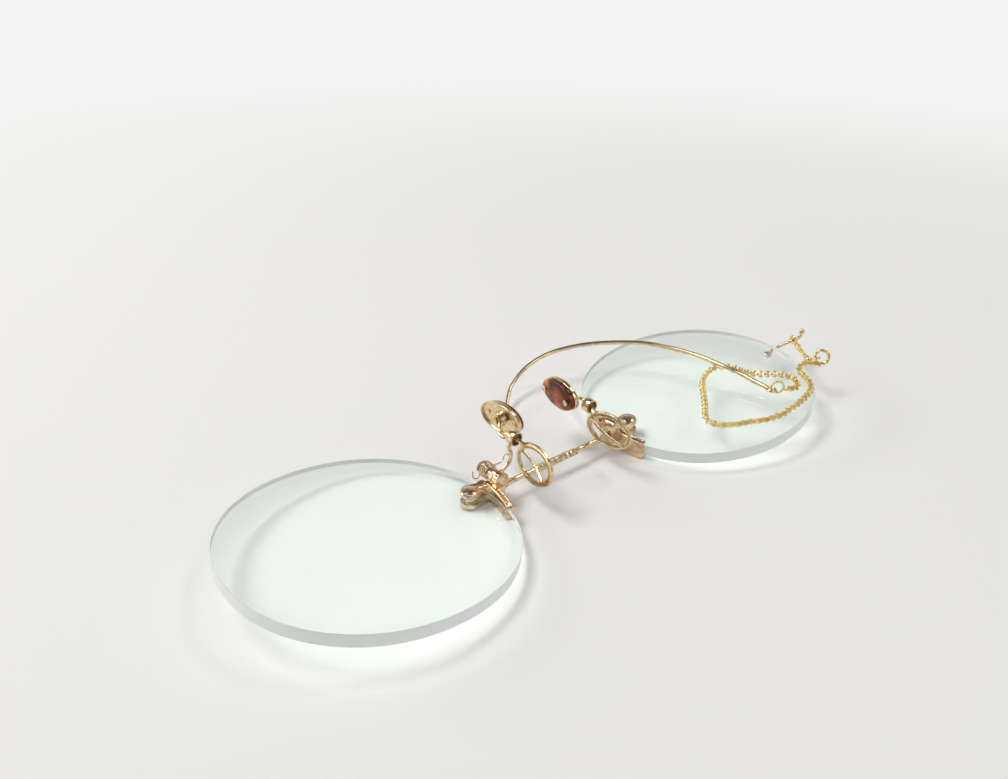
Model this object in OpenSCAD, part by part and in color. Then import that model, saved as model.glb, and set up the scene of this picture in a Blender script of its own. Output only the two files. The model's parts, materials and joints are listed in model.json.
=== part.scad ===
// Rimless pince nez with sprung nose guards, a fine chain and an ear hook.
// Millimetres. It lies on its front side: +Z points out of the back of the lenses,
// +X runs along the bridge bar to the lens that carries the chain, +Y points to the brow.
// The origin is on the resting surface, under the middle of the bridge bar.
// Modules draw the right side (+X). The left side is its mirror image.

/* [Lenses] */
// Width of a lens across the eye
lens_w = 39; // [35:0.5:43]
// Height of a lens
lens_h = 37; // [33:0.5:41]
// Shape of the oval: 2 is an ellipse, more is squarer
lens_squareness = 2.08; // [2:0.02:2.3]
// Thickness of the glass
lens_t = 1.8; // [1.5:0.1:2.4]
// Gap between the nasal edges of the two lenses
lens_gap = 25.3; // [24:0.1:28]
// Tilt that raises the outer edge of each lens, in degrees
lens_tilt = 6.3; // [3:0.1:9]

/* [Lens straps] */
// Gap between the metal and the glass
glass_gap = 0.05; // [0.02:0.01:0.1]
// Wall of the shoe that runs along the nasal edge
shoe_t = 0.45; // [0.35:0.05:0.6]
// Thickness of the shoe's front and back flanges
flange_t = 0.55; // [0.4:0.05:0.7]
// How far the flanges reach over the glass
flange_w = 0.6; // [0.4:0.05:1]
// Reach of the shoe towards the cheek
shoe_low = 5.4; // [4:0.1:6.5]
// Reach of the shoe towards the brow
shoe_high = 2.4; // [2:0.1:2.5]
// Height of the shoe's ridge over the glass, at the ear
ridge_h = 1.05; // [0.8:0.05:1.1]
// Height of the shoe over the glass, at its cheek end
ridge_low = 0.35; // [0.3:0.05:0.6]
// Depth of the flat that the shoes rest on
foot_cut = 0.08; // [0.04:0.01:0.12]
// Radius of the round end of the back ear
back_ear_r = 1.35; // [1.2:0.05:1.6]
// Thickness of the back ear
back_ear_t = 0.85; // [0.6:0.05:1.2]
// Radius of the round end of the front ear
front_ear_r = 1.35; // [1.1:0.05:1.6]
// Distance of the strap screw from the nasal edge
screw_in = 3.3; // [2.8:0.1:4]
// Height of the strap screw above the middle line
screw_up = 0.5; // [0:0.1:1]
// Radius of the strap screw
screw_r = 0.5; // [0.35:0.05:0.6]
// Gap between the strap screw and its holes
screw_gap = 0.03; // [0.01:0.01:0.06]
// Thickness of the strap screw's head
screw_head_t = 0.22; // [0.15:0.01:0.26]

/* [Bridge] */
// Radius of the bridge bar
bar_r = 0.42; // [0.35:0.01:0.5]
// Height of the bar above the back face of the glass
bar_z = 0.1; // [0:0.05:0.2]
// Radius of the flared ends of the bar
bar_flare_r = 0.58; // [0.52:0.01:0.6]
// Length of each flare
bar_flare_l = 1.4; // [1:0.1:2]
// Length of the flattened middle of the bar
bar_flat_l = 8; // [4:0.5:10]
// Width across the flattened middle
bar_flat_w = 0.95; // [0.85:0.05:1.2]
// Thickness of the flattened middle
bar_flat_t = 0.7; // [0.6:0.05:0.8]

/* [Guard pivots] */
// Distance of the pivot from the nasal edge of the lens
pivot_in = 1.25; // [1.2:0.05:1.5]
// Height of the pivot above the back face of the glass
pivot_z = 1.85; // [1.8:0.05:1.9]
// Radius of the pivot barrel
barrel_r = 1.15; // [1:0.05:1.2]
// Length of the barrel without its dome
barrel_l = 0.8; // [0.7:0.05:1.2]
// Height of the barrel's dome
barrel_dome = 0.45; // [0.3:0.05:0.6]
// Distance of the barrel's open end below the middle line
barrel_end = 0.25; // [0.25:0.05:0.5]
// Radius of the pivot screw
pivot_r = 0.5; // [0.4:0.05:0.55]
// Gap between the pivot screw and the hub, all round
pivot_gap = 0.05; // [0.03:0.01:0.08]
// Radius of the pivot screw's head
pivot_head_r = 0.95; // [0.8:0.05:1.05]
// Thickness of the pivot screw's head
pivot_head_t = 0.5; // [0.4:0.05:0.7]
// Outer radius of the guard's hub
hub_r = 0.95; // [0.85:0.05:1]
// Length of the hub along the pivot
hub_l = 1.45; // [1.2:0.05:1.6]
// Gap between the parts along the pivot
stack_gap = 0.06; // [0.04:0.01:0.1]

/* [Guard springs] */
// Radius of the spring wire
spring_wire_r = 0.19; // [0.15:0.01:0.2]
// Radius of the coil, to the middle of the wire
spring_r = 1.06; // [0.95:0.01:1.08]
// Distance from curl to curl
spring_pitch = 0.85; // [0.8:0.01:0.9]
// Number of whole curls, before the last half curl
spring_curls = 1; // [1:1:2]
// Length of the leg that presses on the guard arm
spring_leg = 2.1; // [1.8:0.1:2.2]
// Reach of the fixed leg over the glass
spring_reach = 0.8; // [0.6:0.05:1]
// Height of the turned-up tail of the fixed leg
spring_tail = 1.3; // [0.8:0.1:1.8]

/* [Guard arms and loops] */
// Radius of the wire arm
arm_r = 0.3; // [0.22:0.01:0.34]
// Distance of the collar from the middle of the bar
collar_x = 7.45; // [7.3:0.05:7.6]
// Height of the collar above the back face of the glass
collar_z = 6.3; // [6.2:0.05:6.4]
// Outer radius of the collar
collar_r = 1.1; // [1:0.05:1.2]
// Wall of the collar
collar_t = 0.3; // [0.2:0.02:0.36]
// Length of the collar
collar_l = 1.25; // [1.1:0.05:1.4]
// Distance from the middle line to the near end of the collar
collar_y = 0.5; // [0.45:0.05:0.6]
// Length of the nose loop
loop_l = 8.54; // [8.2:0.02:8.8]
// Width of the nose loop
loop_w = 6.1; // [5.8:0.05:6.3]
// Width of the loop's milled band
band_w = 0.95; // [0.8:0.05:1.1]
// Thickness of the loop's band
band_t = 0.5; // [0.4:0.05:0.55]
// Distance of the loop's middle from the middle of the bar
loop_x = 7.45; // [7.35:0.05:7.6]
// Distance of the loop's middle below the middle line
loop_y = -3.3; // [-3.4:0.05:-3.2]
// Height of the loop's middle above the back face of the glass
loop_z = 4; // [3.9:0.05:4.1]
// Turn of the loop about Z, in degrees
loop_yaw = 6; // [3:0.5:8]
// Turn of the loop about Y, in degrees
loop_flare = 6; // [3:0.5:8]
// Turn of the loop in its own plane, in degrees
loop_roll = -7.5; // [-10:0.5:-5]
// Bow of the middle rib towards the nose
rib_bow = 0.55; // [0.4:0.05:0.8]
// Turn of the middle rib across the loop, in degrees
rib_turn = 32; // [20:1:40]
// Distance of the rib from the loop's middle
rib_off = 0.75; // [0.5:0.05:0.9]
// Width of the middle rib
rib_w = 0.55; // [0.4:0.05:0.7]
// Thickness of the middle rib
rib_t = 0.4; // [0.3:0.05:0.5]

/* [Nose pads] */
// Length of a pad
pad_l = 7.6; // [7:0.1:8]
// Width of a pad
pad_w = 4.4; // [4:0.1:4.6]
// Thickness of the shell pad
pad_t = 1; // [0.7:0.05:1.3]
// Thickness of the plate behind the pad
plate_t = 0.35; // [0.25:0.05:0.45]
// How far the plate stands out round the pad
plate_lip = 0.15; // [0.05:0.05:0.2]
// Height of the rim that is turned up round the plate
rim_h = 0.35; // [0.2:0.05:0.5]
// Width of the plate's rim
rim_w = 0.3; // [0.2:0.05:0.4]
// Distance of the pad's middle from the middle of the bar
pad_x = 5.7; // [5.5:0.05:5.9]
// Distance of the pad's middle above the middle line
pad_y = 5.85; // [5.8:0.05:6]
// Height of the pad's middle above the back face of the glass
pad_z = 6.85; // [6.7:0.05:7]
// Turn of the pad about Z, in degrees
pad_yaw = -6; // [-8:0.5:-3]
// Turn of the pad about Y, in degrees
pad_flare = 2; // [0:0.5:4]
// Distance between the two rivets
rivet_pitch = 5.4; // [4.8:0.1:5.8]
// Radius of a rivet's shank
rivet_r = 0.3; // [0.22:0.01:0.34]
// Radius of a rivet's head
rivet_head_r = 0.46; // [0.4:0.02:0.55]
// Height of a rivet's head
rivet_head_t = 0.14; // [0.1:0.01:0.2]
// Radius of the stud that the pad rocks on
stud_r = 0.3; // [0.25:0.01:0.34]
// Radius of the stud's head
stud_head_r = 0.62; // [0.55:0.01:0.7]
// Thickness of the stud's head
stud_head_t = 0.3; // [0.2:0.02:0.4]
// Gap between the stud and the eye, all round
stud_gap = 0.06; // [0.03:0.01:0.09]
// Distance from the plate to the eye
eye_off = 0.75; // [0.6:0.05:0.9]
// Thickness of the eye
eye_t = 0.5; // [0.4:0.05:0.6]
// Outer radius of the eye
eye_r = 0.85; // [0.75:0.05:0.95]
// Radius of the pad wire
pad_wire_r = 0.28; // [0.22:0.01:0.32]

/* [Chain hook and hanger] */
// Distance of the hook's hole from the outer edge of the lens
hook_in = 2.8; // [2.5:0.1:3.2]
// Distance of the hook's hole below the middle line
hook_y = -2.3; // [-2.5:0.1:-2]
// Radius of the hook's wire
hook_r = 0.32; // [0.28:0.01:0.34]
// Radius of the hook's hole in the glass
hook_hole_r = 0.62; // [0.6:0.01:0.7]
// Radius of the ball on the hook
hook_ball_r = 0.55; // [0.45:0.01:0.65]
// Radius of the hanger's shank
shank_r = 0.36; // [0.3:0.01:0.4]
// Radius of the beads on the shank
bead_r = 0.72; // [0.6:0.01:0.8]
// Radius of the hanger's eye, to the middle of its wire
hanger_eye_r = 0.68; // [0.64:0.01:0.72]
// Radius of the wire in the hanger's eye
hanger_wire_r = 0.24; // [0.2:0.01:0.26]
// Radius of the hanger's ring, to the middle of its wire
ring_r = 1.15; // [1.05:0.01:1.25]
// Radius of the ring's wire
ring_wire_r = 0.26; // [0.2:0.01:0.3]

/* [Chain and ear hook] */
// Radius over the chain's links
chain_r = 0.65; // [0.6:0.01:0.66]
// Radius of the ear hook's wire at its thin end
ear_wire_thin = 0.3; // [0.25:0.01:0.32]
// Radius of the ear hook's wire at its thick end
ear_wire_thick = 0.42; // [0.38:0.01:0.43]
// Radius of the ball on the ear hook
ear_ball_r = 0.6; // [0.5:0.01:0.62]

/* [Hidden] */
$fn = 48;

// Colours as the photograph shows them
gold = "#c9a45c";
rose = "#c08a63";
chain_gold = "#d9b54a";
glass = [0.8, 0.86, 0.86, 0.35];
shell = "#7a2f14";

// Heights above the resting surface: the glass's middle plane and its back face, at the nasal edge
clamp_z = lens_t/2 + glass_gap + flange_t;
shoe_out = glass_gap + shoe_t;
seat_z = clamp_z*cos(lens_tilt) + shoe_out*sin(lens_tilt) - foot_cut;

// Places that several parts share, in the object's frame
edge_x = lens_gap/2;
pivot_x = edge_x - pivot_in;
back_z = seat_z + lens_t/2;
axis_z = back_z + pivot_z;
post_in = pivot_x - barrel_r - 0.35;
hub_low = stack_gap - barrel_end;
hub_high = hub_low + hub_l;
coil_low = hub_high + stack_gap + spring_wire_r;
coil_high = coil_low + spring_pitch*(spring_curls + 0.5);
head_low = coil_high + spring_wire_r + stack_gap;
collar = [collar_x, collar_y, back_z + collar_z];
loop_mid = [loop_x, loop_y, back_z + loop_z];
pad_mid = [pad_x, pad_y, back_z + pad_z];

// A side of the object: 1 is the right side and -1 the left
module on_side(side) {
  if (side > 0) children();
  else mirror([1, 0, 0]) children();
}

// The tilted plane of the right lens, with its nasal edge at the origin
module at_lens() {
  translate([edge_x, 0, seat_z]) rotate([0, -lens_tilt, 0]) children();
}

// A point given in the lens's plane, in the object's frame
function lens_point(p) = [
  edge_x + p[0]*cos(lens_tilt) - p[2]*sin(lens_tilt),
  p[1],
  seat_z + p[0]*sin(lens_tilt) + p[2]*cos(lens_tilt)
];

// Point of the lens's outline at angle t, moved outwards by grow
function oval_point(t, grow=0) =
  let (
    power = 2/lens_squareness,
    cx = sign(cos(t))*pow(abs(cos(t)), power),
    cy = sign(sin(t))*pow(abs(sin(t)), power),
    nx = sign(cx)*pow(abs(cx), lens_squareness - 1)/lens_w,
    ny = sign(cy)*pow(abs(cy), lens_squareness - 1)/lens_h
  )
  [lens_w/2*(1 + cx), lens_h/2*cy] + grow*[nx, ny]/norm([nx, ny]);

// Angle of the outline's nasal point at height y
function oval_angle(y) = 180 - sign(y)*asin(pow(2*abs(y)/lens_h, lens_squareness/2));

// A strip along the nasal edge from height low to high, between two distances from the edge
module edge_band(low, high, inner, outer, steps=16) {
  from = oval_angle(high);
  to = oval_angle(low);
  angles = [for (i = [0:steps]) from + (to - from)*i/steps];
  polygon(concat(
    [for (t = angles) oval_point(t, outer)],
    [for (i = [steps:-1:0]) oval_point(angles[i], inner)]
  ));
}

// Smooth curve through route points
function curve_point(p, i, t) =
  let (
    last = len(p) - 1,
    a = p[max(i - 1, 0)],
    b = p[i],
    c = p[min(i + 1, last)],
    d = p[min(i + 2, last)]
  )
  0.5*(2*b + (c - a)*t + (2*a - 5*b + 4*c - d)*t*t + (3*b - a - 3*c + d)*t*t*t);

function curve(p, steps) = concat(
  [for (i = [0:len(p) - 2], k = [0:steps - 1]) curve_point(p, i, k/steps)],
  [p[len(p) - 1]]
);

// Direction of a path at each of its points
function path_dir(p, i) =
  let (d = p[min(i + 1, len(p) - 1)] - p[max(i - 1, 0)]) d/norm(d);

// Side vectors carried along a path with the least turning
function carry(p, i, side) =
  let (d = path_dir(p, i), s = side - (side*d)*d)
  s/norm(s);
function sides_from(p, i, side) =
  let (s = carry(p, i, side))
  i == len(p) - 1 ? [s] : concat([s], sides_from(p, i + 1, s));

// Solid along a path: radii gives the half width across and along side vectors at each point
module sweep(p, radii, sides=12, first=[0.31, 0.17, 0.93]) {
  s = sides_from(p, 0, first);
  rings = [
    for (i = [0:len(p) - 1])
      let (d = path_dir(p, i), u = s[i], v = cross(d, u))
      for (k = [0:sides - 1])
        let (a = 360*(k + 0.5)/sides)
        p[i] + radii[i][0]*cos(a)*u + radii[i][1]*sin(a)*v
  ];
  count = len(p);
  walls = [
    for (i = [0:count - 2], k = [0:sides - 1])
      let (
        a = i*sides + k,
        b = i*sides + (k + 1)%sides
      )
      each [[a, b + sides, b], [a, a + sides, b + sides]]
  ];
  caps = [
    for (k = [1:sides - 2])
      each [
        [0, k, k + 1],
        [(count - 1)*sides, (count - 1)*sides + k + 1, (count - 1)*sides + k]
      ]
  ];
  polyhedron(points=rings, faces=concat(walls, caps), convexity=10);
}

// Round wire of one radius
module wire(p, r, sides=12) {
  sweep(p, [for (q = p) [r, r]], sides);
}

// Cylinder of radius r from point a to point b
module rod(a, b, r) {
  d = b - a;
  translate(a)
    rotate([0, acos(d[2]/norm(d)), atan2(d[1], d[0])])
      cylinder(r=r, h=norm(d));
}

// Cylinder along Y from y0 to y1 on the pivot's axis
module on_pivot(y0, y1, r) {
  translate([pivot_x, y1, axis_z]) rotate([90, 0, 0]) cylinder(r=r, h=y1 - y0);
}

module lens(side) {
  color(glass) on_side(side) difference() {
    at_lens() translate([0, 0, -lens_t/2]) linear_extrude(lens_t) difference() {
      polygon([for (i = [0:143]) oval_point(2.5*i)]);
      translate([screw_in, screw_up]) circle(r=screw_r + screw_gap);
      if (side > 0) translate([lens_w - hook_in, hook_y]) circle(r=hook_hole_r);
    }
  }
}

// Flat shape of an ear: a round end round the screw, drawn out to the shoe
module ear_shape(r, neck) {
  difference() {
    union() {
      translate([screw_in, screw_up]) circle(r=r);
      polygon([
        [-shoe_out, screw_up - neck],
        [screw_in, screw_up - r],
        [screw_in, screw_up + r],
        [-shoe_out, screw_up + neck]
      ]);
    }
    translate([screw_in, screw_up]) circle(r=screw_r + screw_gap);
  }
}

// The shoe's ridge: highest at the ear, falling along the edge towards the cheek
module ridge(inner, outer) {
  fall = atan((ridge_h - ridge_low)/shoe_low);
  glass_top = lens_t/2 + glass_gap;
  difference() {
    translate([0, 0, glass_top]) linear_extrude(ridge_h) edge_band(-shoe_low, 0.9, inner, outer);
    translate([-5, 0.3, glass_top + ridge_h]) rotate([-fall, 0, 180])
      translate([-20, 0, 0]) cube([40, 20, 5]);
  }
}

module lens_strap(side) {
  glass_top = lens_t/2 + glass_gap;
  barrel_low = -barrel_end - barrel_l;
  dome_r = (barrel_r*barrel_r + barrel_dome*barrel_dome)/(2*barrel_dome);
  color(rose) on_side(side) difference() {
    union() {
      at_lens() {
        // Wall of the shoe, and its flanges over the glass
        translate([0, 0, -clamp_z]) linear_extrude(2*clamp_z - 0.1)
          edge_band(-shoe_low, shoe_high, glass_gap, shoe_out);
        translate([0, 0, glass_top]) linear_extrude(flange_t - 0.1)
          edge_band(0, shoe_high, -flange_w, shoe_out);
        translate([0, 0, -clamp_z]) linear_extrude(flange_t)
          edge_band(-shoe_low, shoe_high, -flange_w, shoe_out);
        ridge(-flange_w, shoe_out);
        // Ears
        translate([0, 0, glass_top]) linear_extrude(back_ear_t) ear_shape(back_ear_r, 0.85);
        translate([0, 0, -clamp_z]) linear_extrude(flange_t) ear_shape(front_ear_r, 0.8);
      }
      // Barrel with its dome
      on_pivot(barrel_low - 0.01, -barrel_end, barrel_r);
      intersection() {
        translate([pivot_x, barrel_low - barrel_dome + dome_r, axis_z]) sphere(r=dome_r, $fn=64);
        on_pivot(barrel_low - barrel_dome - 1, barrel_low, barrel_r);
      }
      // Web from the barrel to the shoe
      translate([pivot_x - 0.6, barrel_low, back_z - 1.2])
        cube([pivot_in + 0.6 - glass_gap - 0.1, barrel_l - 0.05, pivot_z + 1.2]);
      // Boss that holds the bar
      translate([post_in, 0, back_z + bar_z]) rotate([0, 90, 0])
        cylinder(r=0.6, h=edge_x - post_in - glass_gap - 0.1);
    }
    // Thread for the pivot screw
    on_pivot(barrel_low + 0.05, -barrel_end + 1, pivot_r + 0.02);
    // The glass, with the gap round it
    at_lens() translate([0, 0, -lens_t/2 - glass_gap]) linear_extrude(lens_t + 2*glass_gap)
      polygon([for (i = [60:84]) oval_point(2.5*i, glass_gap), oval_point(0)]);
    // The flats that the part rests on
    translate([0, -50, -20]) cube([100, 100, 20]);
  }
}

module lens_screw(side) {
  top = lens_t/2 + glass_gap + back_ear_t + 0.08;
  color(gold) on_side(side) at_lens() translate([screw_in, screw_up, 0]) difference() {
    union() {
      translate([0, 0, -clamp_z - screw_head_t]) cylinder(r=0.9, h=screw_head_t);
      translate([0, 0, -clamp_z - 0.01]) cylinder(r=screw_r, h=clamp_z + top);
    }
    // Slot in the head
    translate([-1, -0.12, -clamp_z - screw_head_t - 0.1]) cube([2, 0.24, 0.22]);
  }
}

module pivot_screw(side) {
  color(gold) on_side(side) difference() {
    union() {
      on_pivot(-barrel_end - barrel_l + 0.15, head_low + 0.01, pivot_r);
      on_pivot(head_low, head_low + pivot_head_t, pivot_head_r);
    }
    // Slot in the head
    translate([pivot_x - 0.13, head_low + pivot_head_t - 0.22, axis_z - 2]) cube([0.26, 1, 4]);
  }
}

module bridge_bar() {
  end = post_in - 0.02;
  color(gold) translate([0, 0, back_z + bar_z]) {
    intersection() {
      union() {
        translate([-end, 0, 0]) rotate([0, 90, 0]) cylinder(r=bar_r, h=2*end);
        translate([-bar_flat_l/2, -bar_flat_w/2, -bar_flat_t/2])
          cube([bar_flat_l, bar_flat_w, bar_flat_t]);
        for (s = [-1, 1])
          translate([s*(end - bar_flare_l), 0, 0]) rotate([0, s*90, 0])
            cylinder(r1=bar_r, r2=bar_flare_r, h=bar_flare_l);
      }
      translate([-end, -1, -1]) cube([2*end, 2, 2]);
    }
  }
}

// Curl of the coil at turn n, counted from its hub end, where it leaves upwards
function coil_point(n) = [
  pivot_x + spring_r*sin(360*n),
  coil_low + spring_pitch*n,
  axis_z + spring_r*cos(360*n)
];

coil_turns = spring_curls + 0.5;
spring_path = concat(
  // Moving leg, beside the guard arm
  [
    coil_point(0) + [-spring_leg, -0.65, 0.5],
    coil_point(0) + [-spring_leg*0.6, -0.4, 0.22],
    coil_point(0) + [-spring_leg*0.25, -0.1, 0.05]
  ],
  [for (i = [0:8*coil_turns]) coil_point(i/8)],
  // Fixed leg over the glass, and its turned-up tail
  [
    [edge_x, coil_high, axis_z - spring_r],
    [edge_x + spring_reach - 0.25, coil_high, axis_z - spring_r + 0.05],
    [edge_x + spring_reach, coil_high, axis_z - spring_r + 0.4],
    [edge_x + spring_reach, coil_high, axis_z - spring_r + spring_tail]
  ]
);

// Least distance between curls a whole turn apart, less the wire
curl_gap = min([for (i = [0:8*(coil_turns - 1)]) norm(coil_point(i/8 + 1) - coil_point(i/8))])
  - 2*spring_wire_r;
echo(least_gap_between_curls=curl_gap);

module guard_spring(side) {
  color(gold) on_side(side) wire(spring_path, spring_wire_r, 6);
}

arm_y = hub_low + 0.55;
arm_path = [
  [pivot_x - 0.75, arm_y, axis_z + 0.2],
  [pivot_x - 1.6, arm_y + 0.05, axis_z + 0.65],
  [pivot_x - 2.4, arm_y + 0.1, axis_z + 1.15],
  [pivot_x - 2.8, arm_y + 0.15, axis_z + 1.9],
  [pivot_x - 2.9, arm_y + 0.25, axis_z + 2.7],
  [collar[0] + 1, collar[1] + 0.5, collar[2] - 1.25],
  [collar[0] + 0.72, collar[1] + 0.6, collar[2] - 0.66]
];

module guard_arm(side) {
  color(rose) on_side(side) {
    difference() {
      on_pivot(hub_low, hub_high, hub_r);
      on_pivot(hub_low - 1, hub_high + 1, pivot_r + pivot_gap);
    }
    wire(curve(arm_path, 4), arm_r);
  }
}

module guard_collar(side) {
  color(gold) on_side(side) difference() {
    translate([collar[0], collar[1] + collar_l, collar[2]]) rotate([90, 0, 0])
      difference() {
        cylinder(r=collar_r, h=collar_l);
        translate([0, 0, -1]) cylinder(r=collar_r - collar_t, h=collar_l + 2);
      }
    // Slot for the arm
    rod(
      [collar[0] + 0.4, collar[1] + 0.6, collar[2] - 0.24],
      [collar[0] + 1.3, collar[1] + 0.5, collar[2] - 1.75],
      arm_r + 0.1
    );
  }
}

// Frame of the loop: X along it, Y across it and Z out of it, away from the nose
module at_loop() {
  translate(loop_mid)
    rotate([0, -loop_flare, 0])
      rotate([0, 0, loop_yaw])
        rotate([90, 0, 90])
          rotate([0, 0, loop_roll])
            children();
}

module loop_outline(shrink) {
  polygon([
    for (i = [0:71])
      [(loop_l/2 - shrink)*cos(5*i), (loop_w/2 - shrink)*sin(5*i)]
  ]);
}

module guard_loop(side) {
  // The rib runs aslant across the loop and bows towards the nose
  c = cos(rib_turn);
  d = sin(rib_turn);
  a = loop_l/2 - band_w/2;
  b = loop_w/2 - band_w/2;
  // Where its line meets the middle of the band
  qa = pow(c/a, 2) + pow(d/b, 2);
  qb = rib_off*c*d*(1/pow(a, 2) - 1/pow(b, 2));
  qc = pow(rib_off*d/a, 2) + pow(rib_off*c/b, 2) - 1;
  root = sqrt(qb*qb - qa*qc);
  from = (-qb - root)/qa;
  to = (root - qb)/qa;
  rib_path = [
    for (i = [0:12])
      let (t = i/6 - 1)
      [(from + to)/2 + (to - from)/2*t, -rib_off, -rib_bow*(1 - t*t)]
  ];
  color(gold) on_side(side) {
    at_loop() {
      translate([0, 0, -band_t/2]) linear_extrude(band_t) difference() {
        loop_outline(0);
        loop_outline(band_w);
      }
      rotate([0, 0, rib_turn])
        sweep(rib_path, [for (q = rib_path) [rib_w/2, rib_t/2]], 8, [0, 1, 0]);
    }
    // Tang that enters the collar
    wire(tang_path, 0.32);
  }
}

tang_path = [
  [collar[0] - 0.45, collar[1] - 1, collar[2] - 0.5],
  [collar[0] - 0.3, collar[1] - 0.4, collar[2] - 0.3],
  [collar[0] - 0.1, collar[1] + 0.1, collar[2] - 0.15],
  [collar[0] - 0.05, collar[1] + 0.6, collar[2] - 0.1]
];

// Frame of the pad: X along it, Y across it and Z out of it, away from the nose
module at_pad() {
  translate(pad_mid)
    rotate([0, -pad_flare, 0])
      rotate([0, 0, pad_yaw])
        rotate([90, 0, 90])
          children();
}

// A point given in the pad's frame, in the object's frame
function turn_y(p, a) = [p[0]*cos(a) + p[2]*sin(a), p[1], p[2]*cos(a) - p[0]*sin(a)];
function turn_z(p, a) = [p[0]*cos(a) - p[1]*sin(a), p[0]*sin(a) + p[1]*cos(a), p[2]];
function pad_point(p) = pad_mid + turn_y(turn_z([p[2], p[0], p[1]], pad_yaw), -pad_flare);

module oval(l, w) {
  polygon([for (i = [0:59]) [l/2*cos(6*i), w/2*sin(6*i)]]);
}

eye_mid = pad_point([0, 0, plate_t + eye_off + eye_t/2]);
eye_rim = pad_point([-eye_r + 0.1, 0, plate_t + eye_off + eye_t/2]);
pad_wire_path = [
  [collar[0] + 0.2, collar[1] + collar_l - 0.4, collar[2] - 0.15],
  [collar[0] + 0.45, collar[1] + collar_l + 0.35, collar[2] - 0.3],
  [eye_mid[0] + 1.2, eye_mid[1] - 3, eye_mid[2] - 0.9],
  [eye_mid[0] + 1.1, eye_mid[1] - 2.1, eye_mid[2] - 0.75],
  [eye_mid[0] + 0.45, eye_mid[1] - 1.35, eye_mid[2] - 0.35],
  eye_rim
];

module pad_wire(side) {
  color(rose) on_side(side) {
    at_pad() translate([0, 0, plate_t + eye_off]) difference() {
      cylinder(r=eye_r, h=eye_t);
      translate([0, 0, -1]) cylinder(r=stud_r + stud_gap, h=eye_t + 2);
    }
    wire(curve(pad_wire_path, 4), pad_wire_r);
  }
}

module pad_plate(side) {
  color(rose) on_side(side) at_pad() difference() {
    linear_extrude(plate_t + rim_h) oval(pad_l + 2*plate_lip, pad_w + 2*plate_lip);
    translate([0, 0, plate_t]) linear_extrude(rim_h + 1)
      oval(pad_l + 2*plate_lip - 2*rim_w, pad_w + 2*plate_lip - 2*rim_w);
    for (s = [-1, 1]) translate([s*rivet_pitch/2, 0, -1]) cylinder(r=rivet_r + 0.02, h=3);
    translate([0, 0, -1]) cylinder(r=stud_r + 0.02, h=3);
  }
}

module pad_stud(side) {
  head = plate_t + eye_off + eye_t + stack_gap;
  color(gold) on_side(side) at_pad() {
    cylinder(r=stud_r, h=head + 0.01);
    translate([0, 0, head]) cylinder(r=stud_head_r, h=stud_head_t);
    // Shoulder that keeps the eye off the plate
    translate([0, 0, plate_t + 0.01]) cylinder(r=stud_r + 0.15, h=eye_off - stack_gap);
  }
}

module pad(side) {
  // The shell is full behind and rounded at its nose face
  color(shell) on_side(side) at_pad() difference() {
    union() {
      translate([0, 0, -pad_t*0.6]) linear_extrude(pad_t*0.6 - 0.01) oval(pad_l, pad_w);
      translate([0, 0, -pad_t*0.85]) linear_extrude(pad_t*0.26) oval(pad_l - 0.4, pad_w - 0.4);
      translate([0, 0, -pad_t]) linear_extrude(pad_t*0.16) oval(pad_l - 1, pad_w - 1);
    }
    for (s = [-1, 1]) translate([s*rivet_pitch/2, 0, -3]) cylinder(r=rivet_r + 0.02, h=4);
  }
}

module pad_rivets(side) {
  color(gold) on_side(side) at_pad() for (s = [-1, 1]) translate([s*rivet_pitch/2, 0, 0]) {
    translate([0, 0, -pad_t - 0.01]) cylinder(r=rivet_r, h=pad_t + plate_t + 0.02);
    translate([0, 0, -pad_t - rivet_head_t]) cylinder(r=rivet_head_r, h=rivet_head_t);
    translate([0, 0, plate_t]) cylinder(r=rivet_head_r, h=rivet_head_t);
  }
}

// Hook: its head on the glass, down through the hole, out under the rim and up to its ball
hole = lens_point([lens_w - hook_in, hook_y, lens_t/2]);
hook_path = [
  hole + [0, 0, 0.2],
  hole + [0, 0, -lens_t/2],
  hole + [0.15, 0.05, -lens_t - 0.15],
  hole + [0.7, 0.25, -lens_t - 0.4],
  hole + [1.8, 0.7, -lens_t - 0.3],
  hole + [3.4, 1.3, -lens_t - 0.1],
  hole + [6.1, 2, 0.25 - lens_t],
  hole + [8.8, 1.7, 0.65 - lens_t],
  hole + [10.9, 1.3, 0.95 - lens_t],
  hole + [11.9, 1.2, 1.25 - lens_t],
  hole + [12.2, 1.2, 2.1 - lens_t]
];

module lens_hook() {
  color(gold) {
    wire(curve(hook_path, 3), hook_r, 10);
    translate(hook_path[10]) sphere(r=hook_ball_r, $fn=24);
    // Head on the back face of the glass
    translate(hole) rotate([0, -lens_tilt, 0]) translate([0, 0, 0.03]) cylinder(r=0.8, h=0.3);
  }
}

// Hanger: an eye on the hook's wire, a wrapped shank with two beads, and the ring's eye
hang_eye = hole + [10.2, 1.42, 0.84 - lens_t];
shank_top = [58.5, -2.1, 4.6];
shank_end = [52.4, -8, 6];
ring_mid = [53.8, -9.7, 6.8];
ring_eye = [53.1, -8.9, 6.4];

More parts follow.
